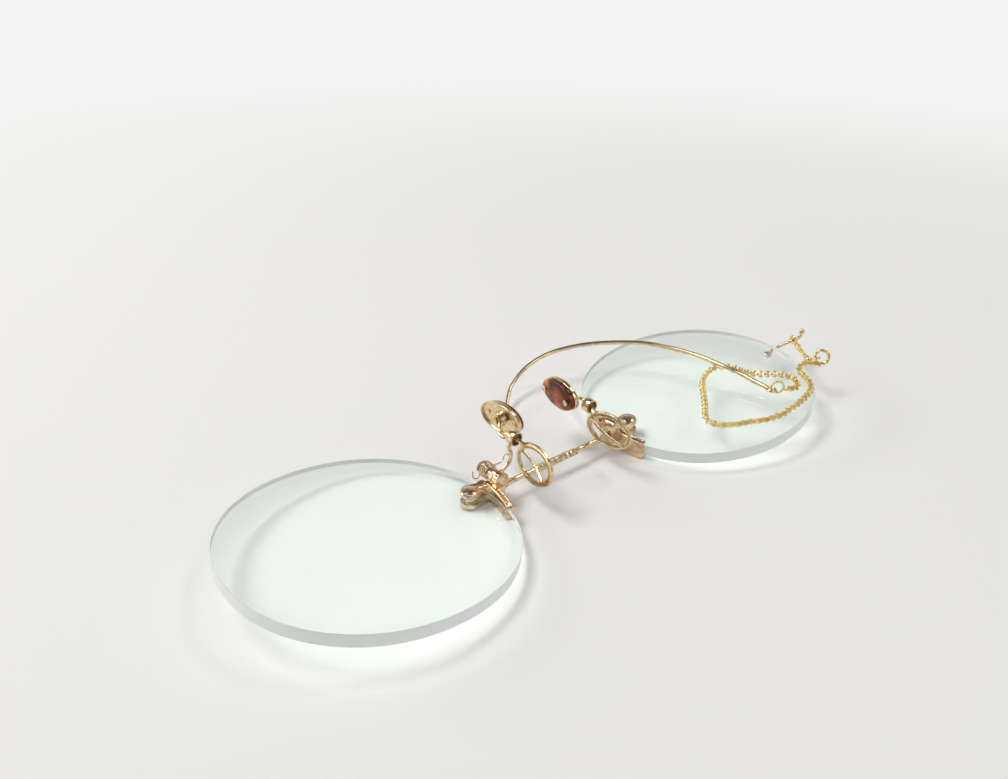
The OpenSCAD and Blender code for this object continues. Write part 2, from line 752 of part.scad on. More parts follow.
module hanger_link() {
  d = (shank_end - shank_top)/norm(shank_end - shank_top);
  n = (shank_top - hang_eye)/norm(shank_top - hang_eye);
  m = (shank_end - ring_eye)/norm(shank_end - ring_eye);
  color(chain_gold) {
    translate(hang_eye) rotate([0, 82, -11])
      rotate_extrude($fn=32) translate([hanger_eye_r, 0]) circle(r=hanger_wire_r, $fn=16);
    rod(hang_eye + hanger_eye_r*n, shank_top, 0.26);
    rod(shank_top, shank_end, shank_r);
    translate(shank_top) sphere(r=bead_r*0.8, $fn=24);
    translate(shank_end) sphere(r=bead_r, $fn=24);
    translate(ring_eye) rotate([0, 32, 74])
      rotate_extrude($fn=32) translate([hanger_eye_r, 0]) circle(r=0.2, $fn=16);
    rod(ring_eye + hanger_eye_r*m, shank_end, 0.26);
  }
}

module hanger_ring() {
  color(chain_gold) translate(ring_mid) rotate([0, 114, 31])
    rotate_extrude($fn=36) translate([ring_r, 0]) circle(r=ring_wire_r, $fn=16);
}

// Route of the chain, on the glass of the right lens
chain_route = [
  [52.1, -10.4, 6.1],
  [50.5, -10.3, 6.9],
  [48.7, -9.8, 7.2],
  [47.1, -9.6, 7],
  [45.9, -10.5, 6.8],
  [45.1, -12, 6.7],
  [44.1, -13.6, 6.6],
  [42.4, -14.9, 6.4],
  [39.7, -15.6, 6.1],
  [36.5, -15.9, 5.8],
  [33.5, -15.8, 5.4],
  [30.8, -15, 5.1],
  [28.6, -13.7, 4.9],
  [26.5, -12.6, 4.7],
  [24.8, -11.2, 4.5],
  [24.1, -9.4, 4.4],
  [24.7, -7.8, 4.5],
  [26.1, -6.6, 4.6],
  [27.5, -5.4, 4.8],
  [28.9, -4.1, 4.9],
  [30.3, -2.7, 5.1],
  [31.8, -1.3, 5.2],
  [33.6, -0.2, 5.4],
  [35.5, 0.4, 5.7],
  [37.3, 0.4, 5.9],
  [38.8, -0.6, 6],
  [39.5, -2.1, 6.1],
  [39.7, -3.7, 6.1],
  [40.1, -5.3, 6.2],
  [41.1, -6.6, 6.3],
  [42.4, -7.8, 6.4],
  [43.3, -9.3, 6.5],
  [43.4, -11, 6.5],
  [42.4, -12.4, 6.4],
  [40.9, -12.9, 6.3],
  [39.6, -12.2, 6.4]
];
chain_path = curve(chain_route, 2);
chain_len = [for (i = [1:len(chain_path) - 1]) norm(chain_path[i] - chain_path[i - 1])];
function total(v, i=0) = i >= len(v) ? 0 : v[i] + total(v, i + 1);
echo(chain_length=total(chain_len), chain_rings=len(chain_path));

module chain() {
  color(chain_gold) wire(chain_path, chain_r, 8);
}

// Route of the ear hook: from its ball on the resting surface, over the lens, to its eye
ear_route = [
  [3.4, 14.6, 0.5],
  [4.2, 16.7, 0.6],
  [5.4, 18.2, 0.9],
  [7.3, 20.1, 1.8],
  [9.6, 21.8, 2.7],
  [13.8, 23.2, 4.1],
  [18.3, 23.1, 5.3],
  [22.7, 21.4, 6.2],
  [27.1, 18.3, 6.9],
  [31.7, 13.5, 7.4],
  [34.1, 9.2, 7.5],
  [35.9, 3.9, 7.4],
  [36.8, -1.1, 7.1],
  [37.5, -4.5, 6.7],
  [37.7, -7.6, 6.3],
  [37.8, -9.9, 6.1]
];
ear_eye = [37.8, -10.55, 6.1];

module ear_hook() {
  path = curve(ear_route, 3);
  last = len(path) - 1;
  color(gold) {
    sweep(path, [
      for (i = [0:last])
        let (r = ear_wire_thin + (ear_wire_thick - ear_wire_thin)*min(1, i/last*1.4))
        [r, r]
    ], 12);
    translate([ear_route[0][0], ear_route[0][1], ear_ball_r + 0.02]) sphere(r=ear_ball_r, $fn=24);
    translate(ear_eye) rotate_extrude($fn=32) translate([0.72, 0]) circle(r=0.22, $fn=16);
  }
}

module chain_end_ring() {
  color(chain_gold) translate([38.5, -11.2, 6.6]) rotate([90, 0, -43])
    rotate_extrude($fn=32) translate([1, 0]) circle(r=0.18, $fn=16);
}

lens(-1);  // lens_left
lens(1);  // lens_right
lens_strap(-1);  // lens_strap_left
lens_strap(1);  // lens_strap_right
lens_screw(-1);  // lens_screw_left
lens_screw(1);  // lens_screw_right
bridge_bar();
pivot_screw(-1);  // pivot_screw_left
pivot_screw(1);  // pivot_screw_right
guard_spring(-1);  // guard_spring_left
guard_spring(1);  // guard_spring_right
guard_arm(-1);  // guard_arm_left
guard_arm(1);  // guard_arm_right
guard_collar(-1);  // guard_collar_left
guard_collar(1);  // guard_collar_right
guard_loop(-1);  // guard_loop_left
guard_loop(1);  // guard_loop_right
pad_wire(-1);  // pad_wire_left
pad_wire(1);  // pad_wire_right
pad_plate(-1);  // pad_plate_left
pad_plate(1);  // pad_plate_right
pad_stud(-1);  // pad_stud_left
pad_stud(1);  // pad_stud_right
pad(-1);  // pad_left
pad(1);  // pad_right
pad_rivets(-1);  // pad_rivets_left
pad_rivets(1);  // pad_rivets_right
lens_hook();
hanger_link();
hanger_ring();
chain();
chain_end_ring();
ear_hook();
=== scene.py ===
# %% [markdown]
# # A rimless pince nez
#
# This lesson dresses a small metal and glass object: two oval lenses on a bridge bar, a sprung
# guard with a milled nose loop and a shell pad on each side, a fine chain and a wire ear hook.
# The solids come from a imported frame, in metres, and every new piece is placed in that same
# frame. The sizes in this file are written in millimetres and multiplied by MM.

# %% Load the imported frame
import json
import math

import bmesh
import bpy
from mathutils import Matrix, Vector


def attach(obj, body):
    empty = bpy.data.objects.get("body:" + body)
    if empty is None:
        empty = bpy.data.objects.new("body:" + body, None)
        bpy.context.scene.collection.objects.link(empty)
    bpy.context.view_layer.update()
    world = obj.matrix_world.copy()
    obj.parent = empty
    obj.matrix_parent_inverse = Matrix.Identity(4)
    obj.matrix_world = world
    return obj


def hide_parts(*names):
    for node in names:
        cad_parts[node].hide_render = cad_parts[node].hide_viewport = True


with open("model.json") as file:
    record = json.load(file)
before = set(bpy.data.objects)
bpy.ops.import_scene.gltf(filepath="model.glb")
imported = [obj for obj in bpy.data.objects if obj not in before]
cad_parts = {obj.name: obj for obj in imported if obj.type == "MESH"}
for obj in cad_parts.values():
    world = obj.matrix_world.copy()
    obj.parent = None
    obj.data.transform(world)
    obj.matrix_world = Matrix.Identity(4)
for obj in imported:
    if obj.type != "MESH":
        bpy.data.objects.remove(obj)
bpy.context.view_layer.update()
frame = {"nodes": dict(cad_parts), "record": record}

MM = 0.001

# %% [markdown]
# ## Camera
#
# The camera stands where the photographer stood. Its place and the directions to its right, its top
# and ahead were fitted to the outlines of the lenses. It is near the object, so the nearest
# distance that it draws has to be small.

# %% Camera
EYE = Vector((-74.332, -76.789, 72.407)) * MM
RIGHT = Vector((0.77197, -0.63557, 0.01073))
UP = Vector((0.29701, 0.37556, 0.87792))
AHEAD = Vector((0.56201, 0.67454, -0.47869))
PICTURE_WIDTH = 1008
FOCAL_PIXELS = 851
SENSOR_WIDTH = 36

bpy.ops.object.camera_add(location=EYE)
camera = bpy.context.object
camera.name = "photo_camera"
camera.rotation_euler = Matrix((RIGHT, UP, -AHEAD)).transposed().to_euler()
camera.data.sensor_width = SENSOR_WIDTH
camera.data.lens = SENSOR_WIDTH * FOCAL_PIXELS / PICTURE_WIDTH
camera.data.clip_start = 0.001
camera.data.clip_end = 20
bpy.context.scene.camera = camera
print("camera lens:", round(camera.data.lens, 2))

# %% [markdown]
# ## Small helpers
#
# An operator acts on everything that is selected. These helpers make sure that only the piece at
# hand is, join parts into one piece, and put a finished piece on the body that carries it.

# %% Selecting, joining and placing
BODY_OF = {
    node: body
    for body, nodes in frame["record"]["behaviour"]["bodies"].items()
    for node in nodes
}


def pick_none():
    if bpy.context.object and bpy.context.object.mode != "OBJECT":
        bpy.ops.object.mode_set(mode="OBJECT")
    bpy.ops.object.select_all(action="DESELECT")


def pick(*pieces):
    pick_none()
    for piece in pieces:
        piece.select_set(True)
    bpy.context.view_layer.objects.active = pieces[0]


def join(name, *pieces):
    pick(*pieces)
    bpy.ops.object.join()
    pieces[0].name = name
    return pieces[0]


def apply_place(piece, place=None):
    if place is not None:
        piece.matrix_world = place @ piece.matrix_world
    pick(piece)
    bpy.ops.object.transform_apply(location=True, rotation=True, scale=True)
    return piece


def smooth(piece, angle=45):
    pick(piece)
    bpy.ops.object.shade_smooth_by_angle(angle=math.radians(angle))
    return piece


def use(piece, *nodes):
    """The piece stands for these nodes and moves with their body."""
    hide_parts(*nodes)
    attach(piece, BODY_OF[nodes[0]])
    print(piece.name, "stands for", ", ".join(nodes), "faces:", len(piece.data.polygons))
    return piece


# %% [markdown]
# A modifier is added, set and applied at once. The one used most is a narrow bevel that breaks the
# edges of a piece.

# %% Modifiers
def change(piece, kind, **settings):
    modifier = piece.modifiers.new(kind.lower(), kind)
    for key, value in settings.items():
        setattr(modifier, key, value)
    pick(piece)
    bpy.ops.object.modifier_apply(modifier=modifier.name)
    return piece


def break_edges(piece, width, segments=2, degrees=30):
    return change(piece, "BEVEL", limit_method="ANGLE", angle_limit=math.radians(degrees),
                  width=width * MM, segments=segments)


def outward(piece):
    """Every face of the piece looks outwards."""
    pick(piece)
    bpy.ops.object.mode_set(mode="EDIT")
    bpy.ops.mesh.select_all(action="SELECT")
    bpy.ops.mesh.normals_make_consistent(inside=False)
    bpy.ops.object.mode_set(mode="OBJECT")
    return piece


# %% [markdown]
# Both sides of the pince nez are alike, so a piece is made for the right side and mirrored.
# Mirroring turns a surface inside out, so its faces are flipped afterwards.

# %% Mirror copy
def mirrored(piece, name):
    twin = bpy.data.objects.new(name, piece.data.copy())
    bpy.context.scene.collection.objects.link(twin)
    pick(twin)
    bpy.ops.object.mode_set(mode="EDIT")
    bpy.ops.mesh.select_all(action="SELECT")
    bpy.ops.transform.resize(value=(-1, 1, 1), center_override=(0, 0, 0))
    bpy.ops.mesh.flip_normals()
    bpy.ops.object.mode_set(mode="OBJECT")
    return twin


def use_both(piece, base, *nodes):
    """The right piece and its mirror copy for the left side."""
    twin = mirrored(piece, base + "_left")
    use(piece, *[n + "_right" for n in nodes])
    use(twin, *[n + "_left" for n in nodes])
    return piece, twin


# %% [markdown]
# A bent wire is a curve with a round bevel. The route is smoothed through its points in the same
# way as in the solids, then the curve is made a mesh. A radius per point lets the wire taper.

# %% Smooth route, wire, ball and ring
def curve_through(points, steps):
    p = [Vector(q) for q in points]
    out = []
    for i in range(len(p) - 1):
        a, b, c, d = p[max(i - 1, 0)], p[i], p[i + 1], p[min(i + 2, len(p) - 1)]
        for k in range(steps):
            t = k / steps
            out.append(0.5 * (2 * b + (c - a) * t + (2 * a - 5 * b + 4 * c - d) * t * t
                              + (3 * b - a - 3 * c + d) * t ** 3))
    return out + [p[-1]]


def wire(name, points, radius, sides=14, radii=None, closed=False):
    pick_none()
    bpy.ops.curve.primitive_nurbs_path_add(location=(0, 0, 0))
    piece = bpy.context.object
    line = piece.data
    line.splines.clear()
    spline = line.splines.new("POLY")
    spline.points.add(len(points) - 1)
    for i, q in enumerate(points):
        spline.points[i].co = (q[0] * MM, q[1] * MM, q[2] * MM, 1)
        spline.points[i].radius = radii[i] / radius if radii else 1
    spline.use_cyclic_u = closed
    line.dimensions = "3D"
    line.twist_mode = "MINIMUM"
    line.bevel_depth = radius * MM
    line.bevel_resolution = (sides - 4) // 2
    line.use_fill_caps = not closed
    bpy.ops.object.convert(target="MESH")
    piece = bpy.context.object
    piece.name = name
    pick(piece)
    bpy.ops.object.mode_set(mode="EDIT")
    bpy.ops.mesh.select_all(action="SELECT")
    bpy.ops.mesh.remove_doubles(threshold=0.000001)
    bpy.ops.mesh.normals_make_consistent(inside=False)
    bpy.ops.object.mode_set(mode="OBJECT")
    return smooth(piece, 60)


def ball(centre, radius, name="ball", segments=24, rings=14, squash=1.0):
    pick_none()
    bpy.ops.mesh.primitive_uv_sphere_add(
        segments=segments, ring_count=rings, radius=radius * MM,
        location=Vector(centre) * MM, scale=(1, 1, squash))
    piece = apply_place(bpy.context.object)
    piece.name = name
    return smooth(piece, 80)


def ring(place, radius, wire_radius, name="ring"):
    pick_none()
    bpy.ops.mesh.primitive_torus_add(
        major_radius=radius * MM, minor_radius=wire_radius * MM,
        major_segments=36, minor_segments=12, location=(0, 0, 0))
    piece = apply_place(bpy.context.object, place)
    piece.name = name
    return smooth(piece, 80)


def place_of(centre, *turns):
    """A place at centre (mm), turned by (degrees, axis) pairs, the first one outermost."""
    m = Matrix.Translation(Vector(centre) * MM)
    for degrees, axis in turns:
        m = m @ Matrix.Rotation(math.radians(degrees), 4, axis)
    return m


# %% [markdown]
# Beads and links come by the dozen. One is modelled, and its mesh is repeated at a list of places
# inside a single piece, which keeps the scene light.

# %% Repeat one small shape
def repeat(small, places, name):
    whole = bmesh.new()
    for place in places:
        one = small.data.copy()
        one.transform(place)
        whole.from_mesh(one)
        bpy.data.meshes.remove(one)
    mesh = bpy.data.meshes.new(name)
    whole.to_mesh(mesh)
    whole.free()
    piece = bpy.data.objects.new(name, mesh)
    bpy.context.scene.collection.objects.link(piece)
    bpy.data.objects.remove(small)
    return piece


# %% [markdown]
# ## The chain and what hangs on it
#
# The chain is a free cord, so it is settled first. Its route repeats the points of the solid.
# It is braided like an ear of wheat: its small oval links lie in pairs that lean apart, and each
# pair is a quarter turn from the last. One link is a torus drawn out to an oval, and its copies
# follow the route.

# %% Route of the chain
CHAIN_ROUTE = [
    (52.1, -10.4, 6.1), (50.5, -10.3, 6.9), (48.7, -9.8, 7.2), (47.1, -9.6, 7),
    (45.9, -10.5, 6.8), (45.1, -12, 6.7), (44.1, -13.6, 6.6), (42.4, -14.9, 6.4),
    (39.7, -15.6, 6.1), (36.5, -15.9, 5.8), (33.5, -15.8, 5.4), (30.8, -15, 5.1),
    (28.6, -13.7, 4.9), (26.5, -12.6, 4.7), (24.8, -11.2, 4.5), (24.1, -9.4, 4.4),
    (24.7, -7.8, 4.5), (26.1, -6.6, 4.6), (27.5, -5.4, 4.8), (28.9, -4.1, 4.9),
    (30.3, -2.7, 5.1), (31.8, -1.3, 5.2), (33.6, -0.2, 5.4), (35.5, 0.4, 5.7),
    (37.3, 0.4, 5.9), (38.8, -0.6, 6), (39.5, -2.1, 6.1), (39.7, -3.7, 6.1),
    (40.1, -5.3, 6.2), (41.1, -6.6, 6.3), (42.4, -7.8, 6.4), (43.3, -9.3, 6.5),
    (43.4, -11, 6.5), (42.4, -12.4, 6.4), (40.9, -12.9, 6.3), (39.6, -12.2, 6.4),
]
LINK_PITCH = 0.58
LINK_R, LINK_WIRE, LINK_STRETCH = 0.265, 0.133, (1.62, 0.7, 1.1)
LINK_ASIDE, LINK_LEAN, FIRST_ROLL = 0.19, 31, 62
chain_line = curve_through(CHAIN_ROUTE, 8)


# %% Links along the route
def along(line, spacing):
    """Points and directions at equal steps along a line."""
    out, walked, wanted = [], 0.0, spacing / 2
    for a, b in zip(line, line[1:]):
        step = (b - a).length
        while wanted <= walked + step:
            out.append((a + (b - a) * ((wanted - walked) / step), (b - a).normalized()))
            wanted += spacing
        walked += step
    return out


def carried_frames(stations, first=Vector((0, 0, 1))):
    """A turning frame that is carried along with the least twist."""
    frames, side = [], first
    for point, ahead in stations:
        side = (side - ahead * side.dot(ahead)).normalized()
        up = ahead.cross(side)
        frames.append((point, Matrix((ahead, side, up)).transposed().to_4x4()))
    return frames


pick_none()
bpy.ops.mesh.primitive_torus_add(
    major_radius=LINK_R * MM, minor_radius=LINK_WIRE * MM, major_segments=12, minor_segments=6)
link = bpy.context.object
bpy.ops.object.mode_set(mode="EDIT")
bpy.ops.mesh.select_all(action="SELECT")
bpy.ops.transform.resize(value=LINK_STRETCH)
bpy.ops.object.mode_set(mode="OBJECT")


def link_place(i, point, heading, hand):
    """Link i of the route, hand is -1 or 1 for the two links of a pair."""
    roll = Matrix.Rotation(math.radians(FIRST_ROLL + 90 * (i % 2)), 4, "X")
    aside = Matrix.Translation((0, LINK_ASIDE * hand * MM, 0))
    lean = Matrix.Rotation(math.radians(LINK_LEAN * hand), 4, "Z")
    return Matrix.Translation(point * MM) @ heading @ roll @ aside @ lean


stations = carried_frames(along(chain_line, LINK_PITCH))
link_places = [link_place(i, point, heading, hand)
               for i, (point, heading) in enumerate(stations) for hand in (-1, 1)]
chain_links = smooth(repeat(link, link_places, "chain_links"), 80)
use(chain_links, "chain")
print("links:", len(link_places))

# %% [markdown]
# The ear hook is one tapered wire. It starts in a small ball, which lies on the ground, rises over
# the lens in a wide bow and ends in an eye, which the last ring of the chain goes through.

# %% Ear hook
EAR_ROUTE = [
    (3.4, 14.6, 0.5), (4.2, 16.7, 0.6), (5.4, 18.2, 0.9), (7.3, 20.1, 1.8), (9.6, 21.8, 2.7),
    (13.8, 23.2, 4.1), (18.3, 23.1, 5.3), (22.7, 21.4, 6.2), (27.1, 18.3, 6.9), (31.7, 13.5, 7.4),
    (34.1, 9.2, 7.5), (35.9, 3.9, 7.4), (36.8, -1.1, 7.1), (37.5, -4.5, 6.7), (37.7, -7.6, 6.3),
    (37.8, -9.9, 6.1),
]
EAR_THIN, EAR_SWELL = 0.3, 0.12
ear_line = curve_through(EAR_ROUTE, 8)
ear_radii = [EAR_THIN + EAR_SWELL * min(1, 1.4 * i / (len(ear_line) - 1))
             for i in range(len(ear_line))]
ear_wire = wire("ear_wire", ear_line, EAR_THIN + EAR_SWELL, 16, ear_radii)
ear_tip = ball((3.4, 14.6, 0.62), 0.6, "ear_tip")
ear_eye = ring(place_of((37.8, -10.55, 6.1)), 0.72, 0.22, "ear_eye")
ear_hook = use(join("ear_hook_wire", ear_wire, ear_tip, ear_eye), "ear_hook")

# %% Ring at the chain's end
end_ring = ring(place_of((38.5, -11.2, 6.6), (-43, "Z"), (90, "X")), 1.0, 0.18, "end_ring")
use(end_ring, "chain_end_ring")

# %% [markdown]
# The hook goes through a hole near the lens's outer edge and ends in a ball. The hanger is a short
# shank wrapped in fine wire between two beads, with an eye at each end. The wrapping
# is a second wire that winds round the shank.

# %% Hook through the lens
LENS_W, LENS_H, LENS_T = 39.0, 37.0, 1.8
LENS_TILT = math.radians(6.3)
LENS_GAP = 25.3
STRAP_LOW, STRAP_OUT, REST_CUT = 1.5, 0.5, 0.08
EDGE_X = LENS_GAP / 2
SEAT_Z = STRAP_LOW * math.cos(LENS_TILT) + STRAP_OUT * math.sin(LENS_TILT) - REST_CUT
BACK_Z = SEAT_Z + LENS_T / 2
HOLE_IN, HOLE_Y, HEAD_LIFT = 2.8, -2.3, 0.03


def lens_point(x, y, z):
    return Vector((
        EDGE_X + x * math.cos(LENS_TILT) - z * math.sin(LENS_TILT), y,
        SEAT_Z + x * math.sin(LENS_TILT) + z * math.cos(LENS_TILT)))


HOLE = lens_point(LENS_W - HOLE_IN, HOLE_Y, LENS_T / 2)
HEAD_AT = HOLE + Vector((0, 0, HEAD_LIFT))
HOOK_STEPS = [
    (0, 0, 0.2), (0, 0, -0.9), (0.15, 0.05, -1.95), (0.7, 0.25, -2.2), (1.8, 0.7, -2.1),
    (3.4, 1.3, -1.9), (6.1, 2, -1.55), (8.8, 1.7, -1.15), (10.9, 1.3, -0.85),
    (11.9, 1.2, -0.55), (12.2, 1.2, 0.3),
]
hook_line = curve_through([HOLE + Vector(s) for s in HOOK_STEPS], 6)
hook_wire = wire("hook_wire", hook_line, 0.32, 16)
hook_ball = ball(hook_line[-1], 0.55, "hook_ball")
hook_head = ball(HEAD_AT, 0.62, "hook_head", squash=0.3)
pick(hook_head)
bpy.ops.object.mode_set(mode="EDIT")
bpy.ops.mesh.select_all(action="SELECT")
bpy.ops.mesh.bisect(
    plane_co=HEAD_AT * MM, plane_no=(-math.sin(LENS_TILT), 0, math.cos(LENS_TILT)),
    use_fill=True, clear_inner=True, threshold=0.0000001)
bpy.ops.object.mode_set(mode="OBJECT")
lens_hook = use(join("lens_hook_wire", hook_wire, hook_ball, hook_head), "lens_hook")

# %% Hanger with its wrapped shank
HANG_EYE = HOLE + Vector((10.2, 1.42, 0.84 - LENS_T))
SHANK_TOP = Vector((58.5, -2.1, 4.6))
SHANK_END = Vector((52.4, -8, 6))
RING_MID = Vector((53.8, -9.7, 6.8))
RING_EYE = Vector((53.1, -8.9, 6.4))
EYE_R = 0.68
WRAPS, WRAP_STEPS, WRAP_R = 17, 12, 0.27
WRAP_START, WRAP_SHARE = 0.07, 0.84

eye_side = (SHANK_TOP - HANG_EYE).normalized()
ring_side = (SHANK_END - RING_EYE).normalized()
down = (SHANK_END - SHANK_TOP).normalized()
shank_long = (SHANK_END - SHANK_TOP).length
_, shank_turn = carried_frames([(SHANK_TOP, down)])[0]
wrap_line = []
for i in range(WRAPS * WRAP_STEPS + 1):
    part = WRAP_START + WRAP_SHARE * i / (WRAPS * WRAP_STEPS)
    spin = Matrix.Rotation(2 * math.pi * i / WRAP_STEPS, 4, "X")
    wrap_line.append(SHANK_TOP + down * shank_long * part
                     + shank_turn @ spin @ Vector((0, WRAP_R, 0)))
hanger = join(
    "hanger_wrapped",
    wire("shank", [SHANK_TOP, SHANK_END], 0.22, 14),
    wire("wrapping", wrap_line, 0.12, 8),
    wire("eye_stem", [HANG_EYE + eye_side * EYE_R, SHANK_TOP], 0.26, 12),
    wire("ring_stem", [RING_EYE + ring_side * EYE_R, SHANK_END], 0.26, 12),
    ball(SHANK_TOP, 0.58, "bead_top"),
    ball(SHANK_END, 0.72, "bead_end"),
    ring(place_of(HANG_EYE, (-11, "Z"), (82, "Y")), EYE_R, 0.24, "eye"),
    ring(place_of(RING_EYE, (74, "Z"), (32, "Y")), EYE_R, 0.2, "small_eye"))
use(hanger, "hanger_link")
hanger_ring = ring(place_of(RING_MID, (31, "Z"), (114, "Y")), 1.15, 0.26, "ring_hanger")
use(hanger_ring, "hanger_ring")

# %% [markdown]
# ## Soft edges on the solids
#
# Real parts of this size are stamped, filed and polished, so no edge is sharp. A solid whose
# shape is right is copied, its loose triangles are merged and its flat faces made whole. Then a
# narrow bevel breaks the edges, which is what catches the light.

# %% Copy a solid and break its edges
def flat_faces_flat(piece):
    """Large flat faces keep their own normal, and the narrow bevels take the turn."""
    return change(piece, "WEIGHTED_NORMAL", mode="FACE_AREA", weight=100, keep_sharp=True)


def softened(node, name, width, segments=2):
    source = frame["nodes"][node]
    piece = bpy.data.objects.new(name, source.data.copy())
    bpy.context.scene.collection.objects.link(piece)
    piece.data.materials.clear()
    pick(piece)
    if piece.data.has_custom_normals:
        bpy.ops.mesh.customdata_custom_splitnormals_clear()
    bpy.ops.object.mode_set(mode="EDIT")
    bpy.ops.mesh.select_all(action="SELECT")
    bpy.ops.mesh.remove_doubles(threshold=0.000001)
    bpy.ops.mesh.dissolve_limited(angle_limit=math.radians(0.5))
    bpy.ops.object.mode_set(mode="OBJECT")
    break_edges(piece, width, segments, 32)
    return flat_faces_flat(smooth(piece, 62))


# %% [markdown]
# The lenses are clear glass with a ground edge. Their rims get a fine bevel, so that each rim shows
# as the double line of light that thin glass has. The narrow faces round the rim get a frosted
# finish later, and the two large ones stay clear.

# %% Lenses
lens_right = use(softened("lens_right", "glass_lens_right", 0.13), "lens_right")
lens_left = use(softened("lens_left", "glass_lens_left", 0.13), "lens_left")

# %% [markdown]
# The straps hold the glass between two ears and a shoe, and carry the pivot barrel. A copy of the
# solid gets a domed back ear with a round neck, and two thin lines along the shoe's back edge.

# %% Straps: domed ear and the two bright lines of the shoe
LENS_AT = place_of((EDGE_X, 0, SEAT_Z), (-math.degrees(LENS_TILT), "Y"))
GLASS_TOP = LENS_T / 2 + 0.05
EAR_X, EAR_Y, EAR_R, EAR_SQUASH = 3.3, 0.5, 1.47, 0.44
SHOE_START, SHOE_L, SHOE_RISE, SHOE_FALL = 0.55, 5.75, 1.0, 0.66
FALL_START, FALL_L = 0.3, 5.4
OVAL_POWER = 2.08
LINE_OUTER, LINE_INNER = (0.34, 0.17), (-0.42, 0.15)


def edge_point(y, outwards, height):
    """A point by the nasal edge of the right lens, at height over its middle plane."""
    power, slope = 2 / OVAL_POWER, OVAL_POWER - 1
    t = math.asin((2 * abs(y) / LENS_H) ** (1 / power))
    x, v = math.cos(t) ** power, math.copysign(math.sin(t) ** power, y)
    away = Vector((-x ** slope / LENS_W, math.copysign(abs(v) ** slope, y) / LENS_H)).normalized()
    return lens_point(LENS_W / 2 * (1 - x) + outwards * away[0],
                      LENS_H / 2 * v + outwards * away[1], height)


def ridge_line(outwards, steps=14):
    out = []
    for i in range(steps + 1):
        y = SHOE_START - SHOE_L * i / steps
        fall = min(1, max(0, (FALL_START - y) / FALL_L))
        out.append(edge_point(y, outwards, GLASS_TOP + SHOE_RISE - SHOE_FALL * fall))
    return out


def ear_dome():
    dome = apply_place(
        ball((0, 0, 0), EAR_R, "ear_dome", 40, 22, EAR_SQUASH),
        LENS_AT @ Matrix.Translation(Vector((EAR_X, EAR_Y, GLASS_TOP + 0.47)) * MM))
    neck = wire("ear_neck", curve_through([
        lens_point(2.6, 0.5, GLASS_TOP + 0.45), lens_point(1.5, 0.5, GLASS_TOP + 0.5),
        lens_point(0.5, 0.45, GLASS_TOP + 0.62), lens_point(-0.15, 0.3, GLASS_TOP + 0.9)], 4),
        0.62, 16, [0.62 - 0.22 * i / 12 for i in range(13)])
    return join("ear_dome", dome, neck)


strap = join(
    "lens_strap_metal_right", softened("lens_strap_right", "lens_strap_copy", 0.14, 3), ear_dome(),
    wire("outer_line", ridge_line(LINE_OUTER[0]), LINE_OUTER[1], 12),
    wire("inner_line", ridge_line(LINE_INNER[0]), LINE_INNER[1], 12))
metal_rose = list(use_both(strap, "lens_strap_metal", "lens_strap"))

# %% [markdown]
# A pad is held by a stud. A cone round the stud stands on the back of the plate, and the eye of the
# pad wire sits on it.

# %% Frame of the pad, and its stud with the cone
PAD = place_of((5.7, 5.85, BACK_Z + 6.85), (-2, "Y"), (-6, "Z"), (90, "Z"), (90, "X"))
CONE_FOOT, CONE_TOP, CONE_H, CONE_Z = 1.25, 0.62, 0.62, 0.68
pick_none()
bpy.ops.mesh.primitive_cone_add(
    vertices=40, radius1=CONE_FOOT * MM, radius2=CONE_TOP * MM, depth=CONE_H * MM,
    location=(0, 0, CONE_Z * MM))
cone = break_edges(apply_place(bpy.context.object), 0.1, 3)
cone = apply_place(smooth(cone, 50), PAD)
stud = join("pad_stud_metal_right", softened("pad_stud_right", "pad_stud_copy", 0.05), cone)
metal_gold = list(use_both(stud, "pad_stud_metal", "pad_stud"))

# %% Screws, arms, plates and rivets
for side in ("left", "right"):
    for node, width in (("guard_arm", 0.04), ("pad_wire", 0.04)):
        metal_rose.append(use(softened(f"{node}_{side}", f"{node}_metal_{side}", width),
                              f"{node}_{side}"))
    for node, width in (("lens_screw", 0.05), ("pad_plate", 0.08), ("pad_rivets", 0.05)):
        metal_gold.append(use(softened(f"{node}_{side}", f"{node}_metal_{side}", width),
                              f"{node}_{side}"))
metal_dark = [
    use(softened(f"pivot_screw_{side}", f"pivot_screw_metal_{side}", 0.06), f"pivot_screw_{side}")
    for side in ("left", "right")]

# %% [markdown]
# A collar is a short band that holds the arm, the loop and the pad wire. It is a circle drawn out
# to a tube, and a dark plug fills it a little way in from each mouth: painted shade for the tube's
# dark inside.

# %% Collar and its plug of painted shade
COLLAR = Vector((7.45, 0.5, BACK_Z + 6.3))
COLLAR_R, COLLAR_WALL, COLLAR_L, FILL_L = 1.1, 0.2, 1.25, 0.62
COLLAR_AT = place_of(COLLAR + Vector((0, COLLAR_L, 0)), (90, "X"))
pick_none()
bpy.ops.mesh.primitive_circle_add(
    vertices=48, radius=(COLLAR_R - COLLAR_WALL / 2) * MM, fill_type="NOTHING")
collar_band = bpy.context.object
bpy.ops.object.mode_set(mode="EDIT")
bpy.ops.mesh.select_all(action="SELECT")
bpy.ops.mesh.extrude_region_move(TRANSFORM_OT_translate={"value": (0, 0, COLLAR_L * MM)})
bpy.ops.object.mode_set(mode="OBJECT")
change(collar_band, "SOLIDIFY", thickness=COLLAR_WALL * MM, offset=0)
# A dark plug a little way into the tube: painted shade for its dark inside.
pick_none()
bpy.ops.mesh.primitive_cylinder_add(
    vertices=48, radius=(COLLAR_R - COLLAR_WALL + 0.02) * MM, depth=FILL_L * MM,
    location=(0, 0, COLLAR_L / 2 * MM))
collar_shade_plug = bpy.context.object
for part in (collar_band, collar_shade_plug):
    smooth(apply_place(outward(break_edges(part, 0.035)), COLLAR_AT), 50)

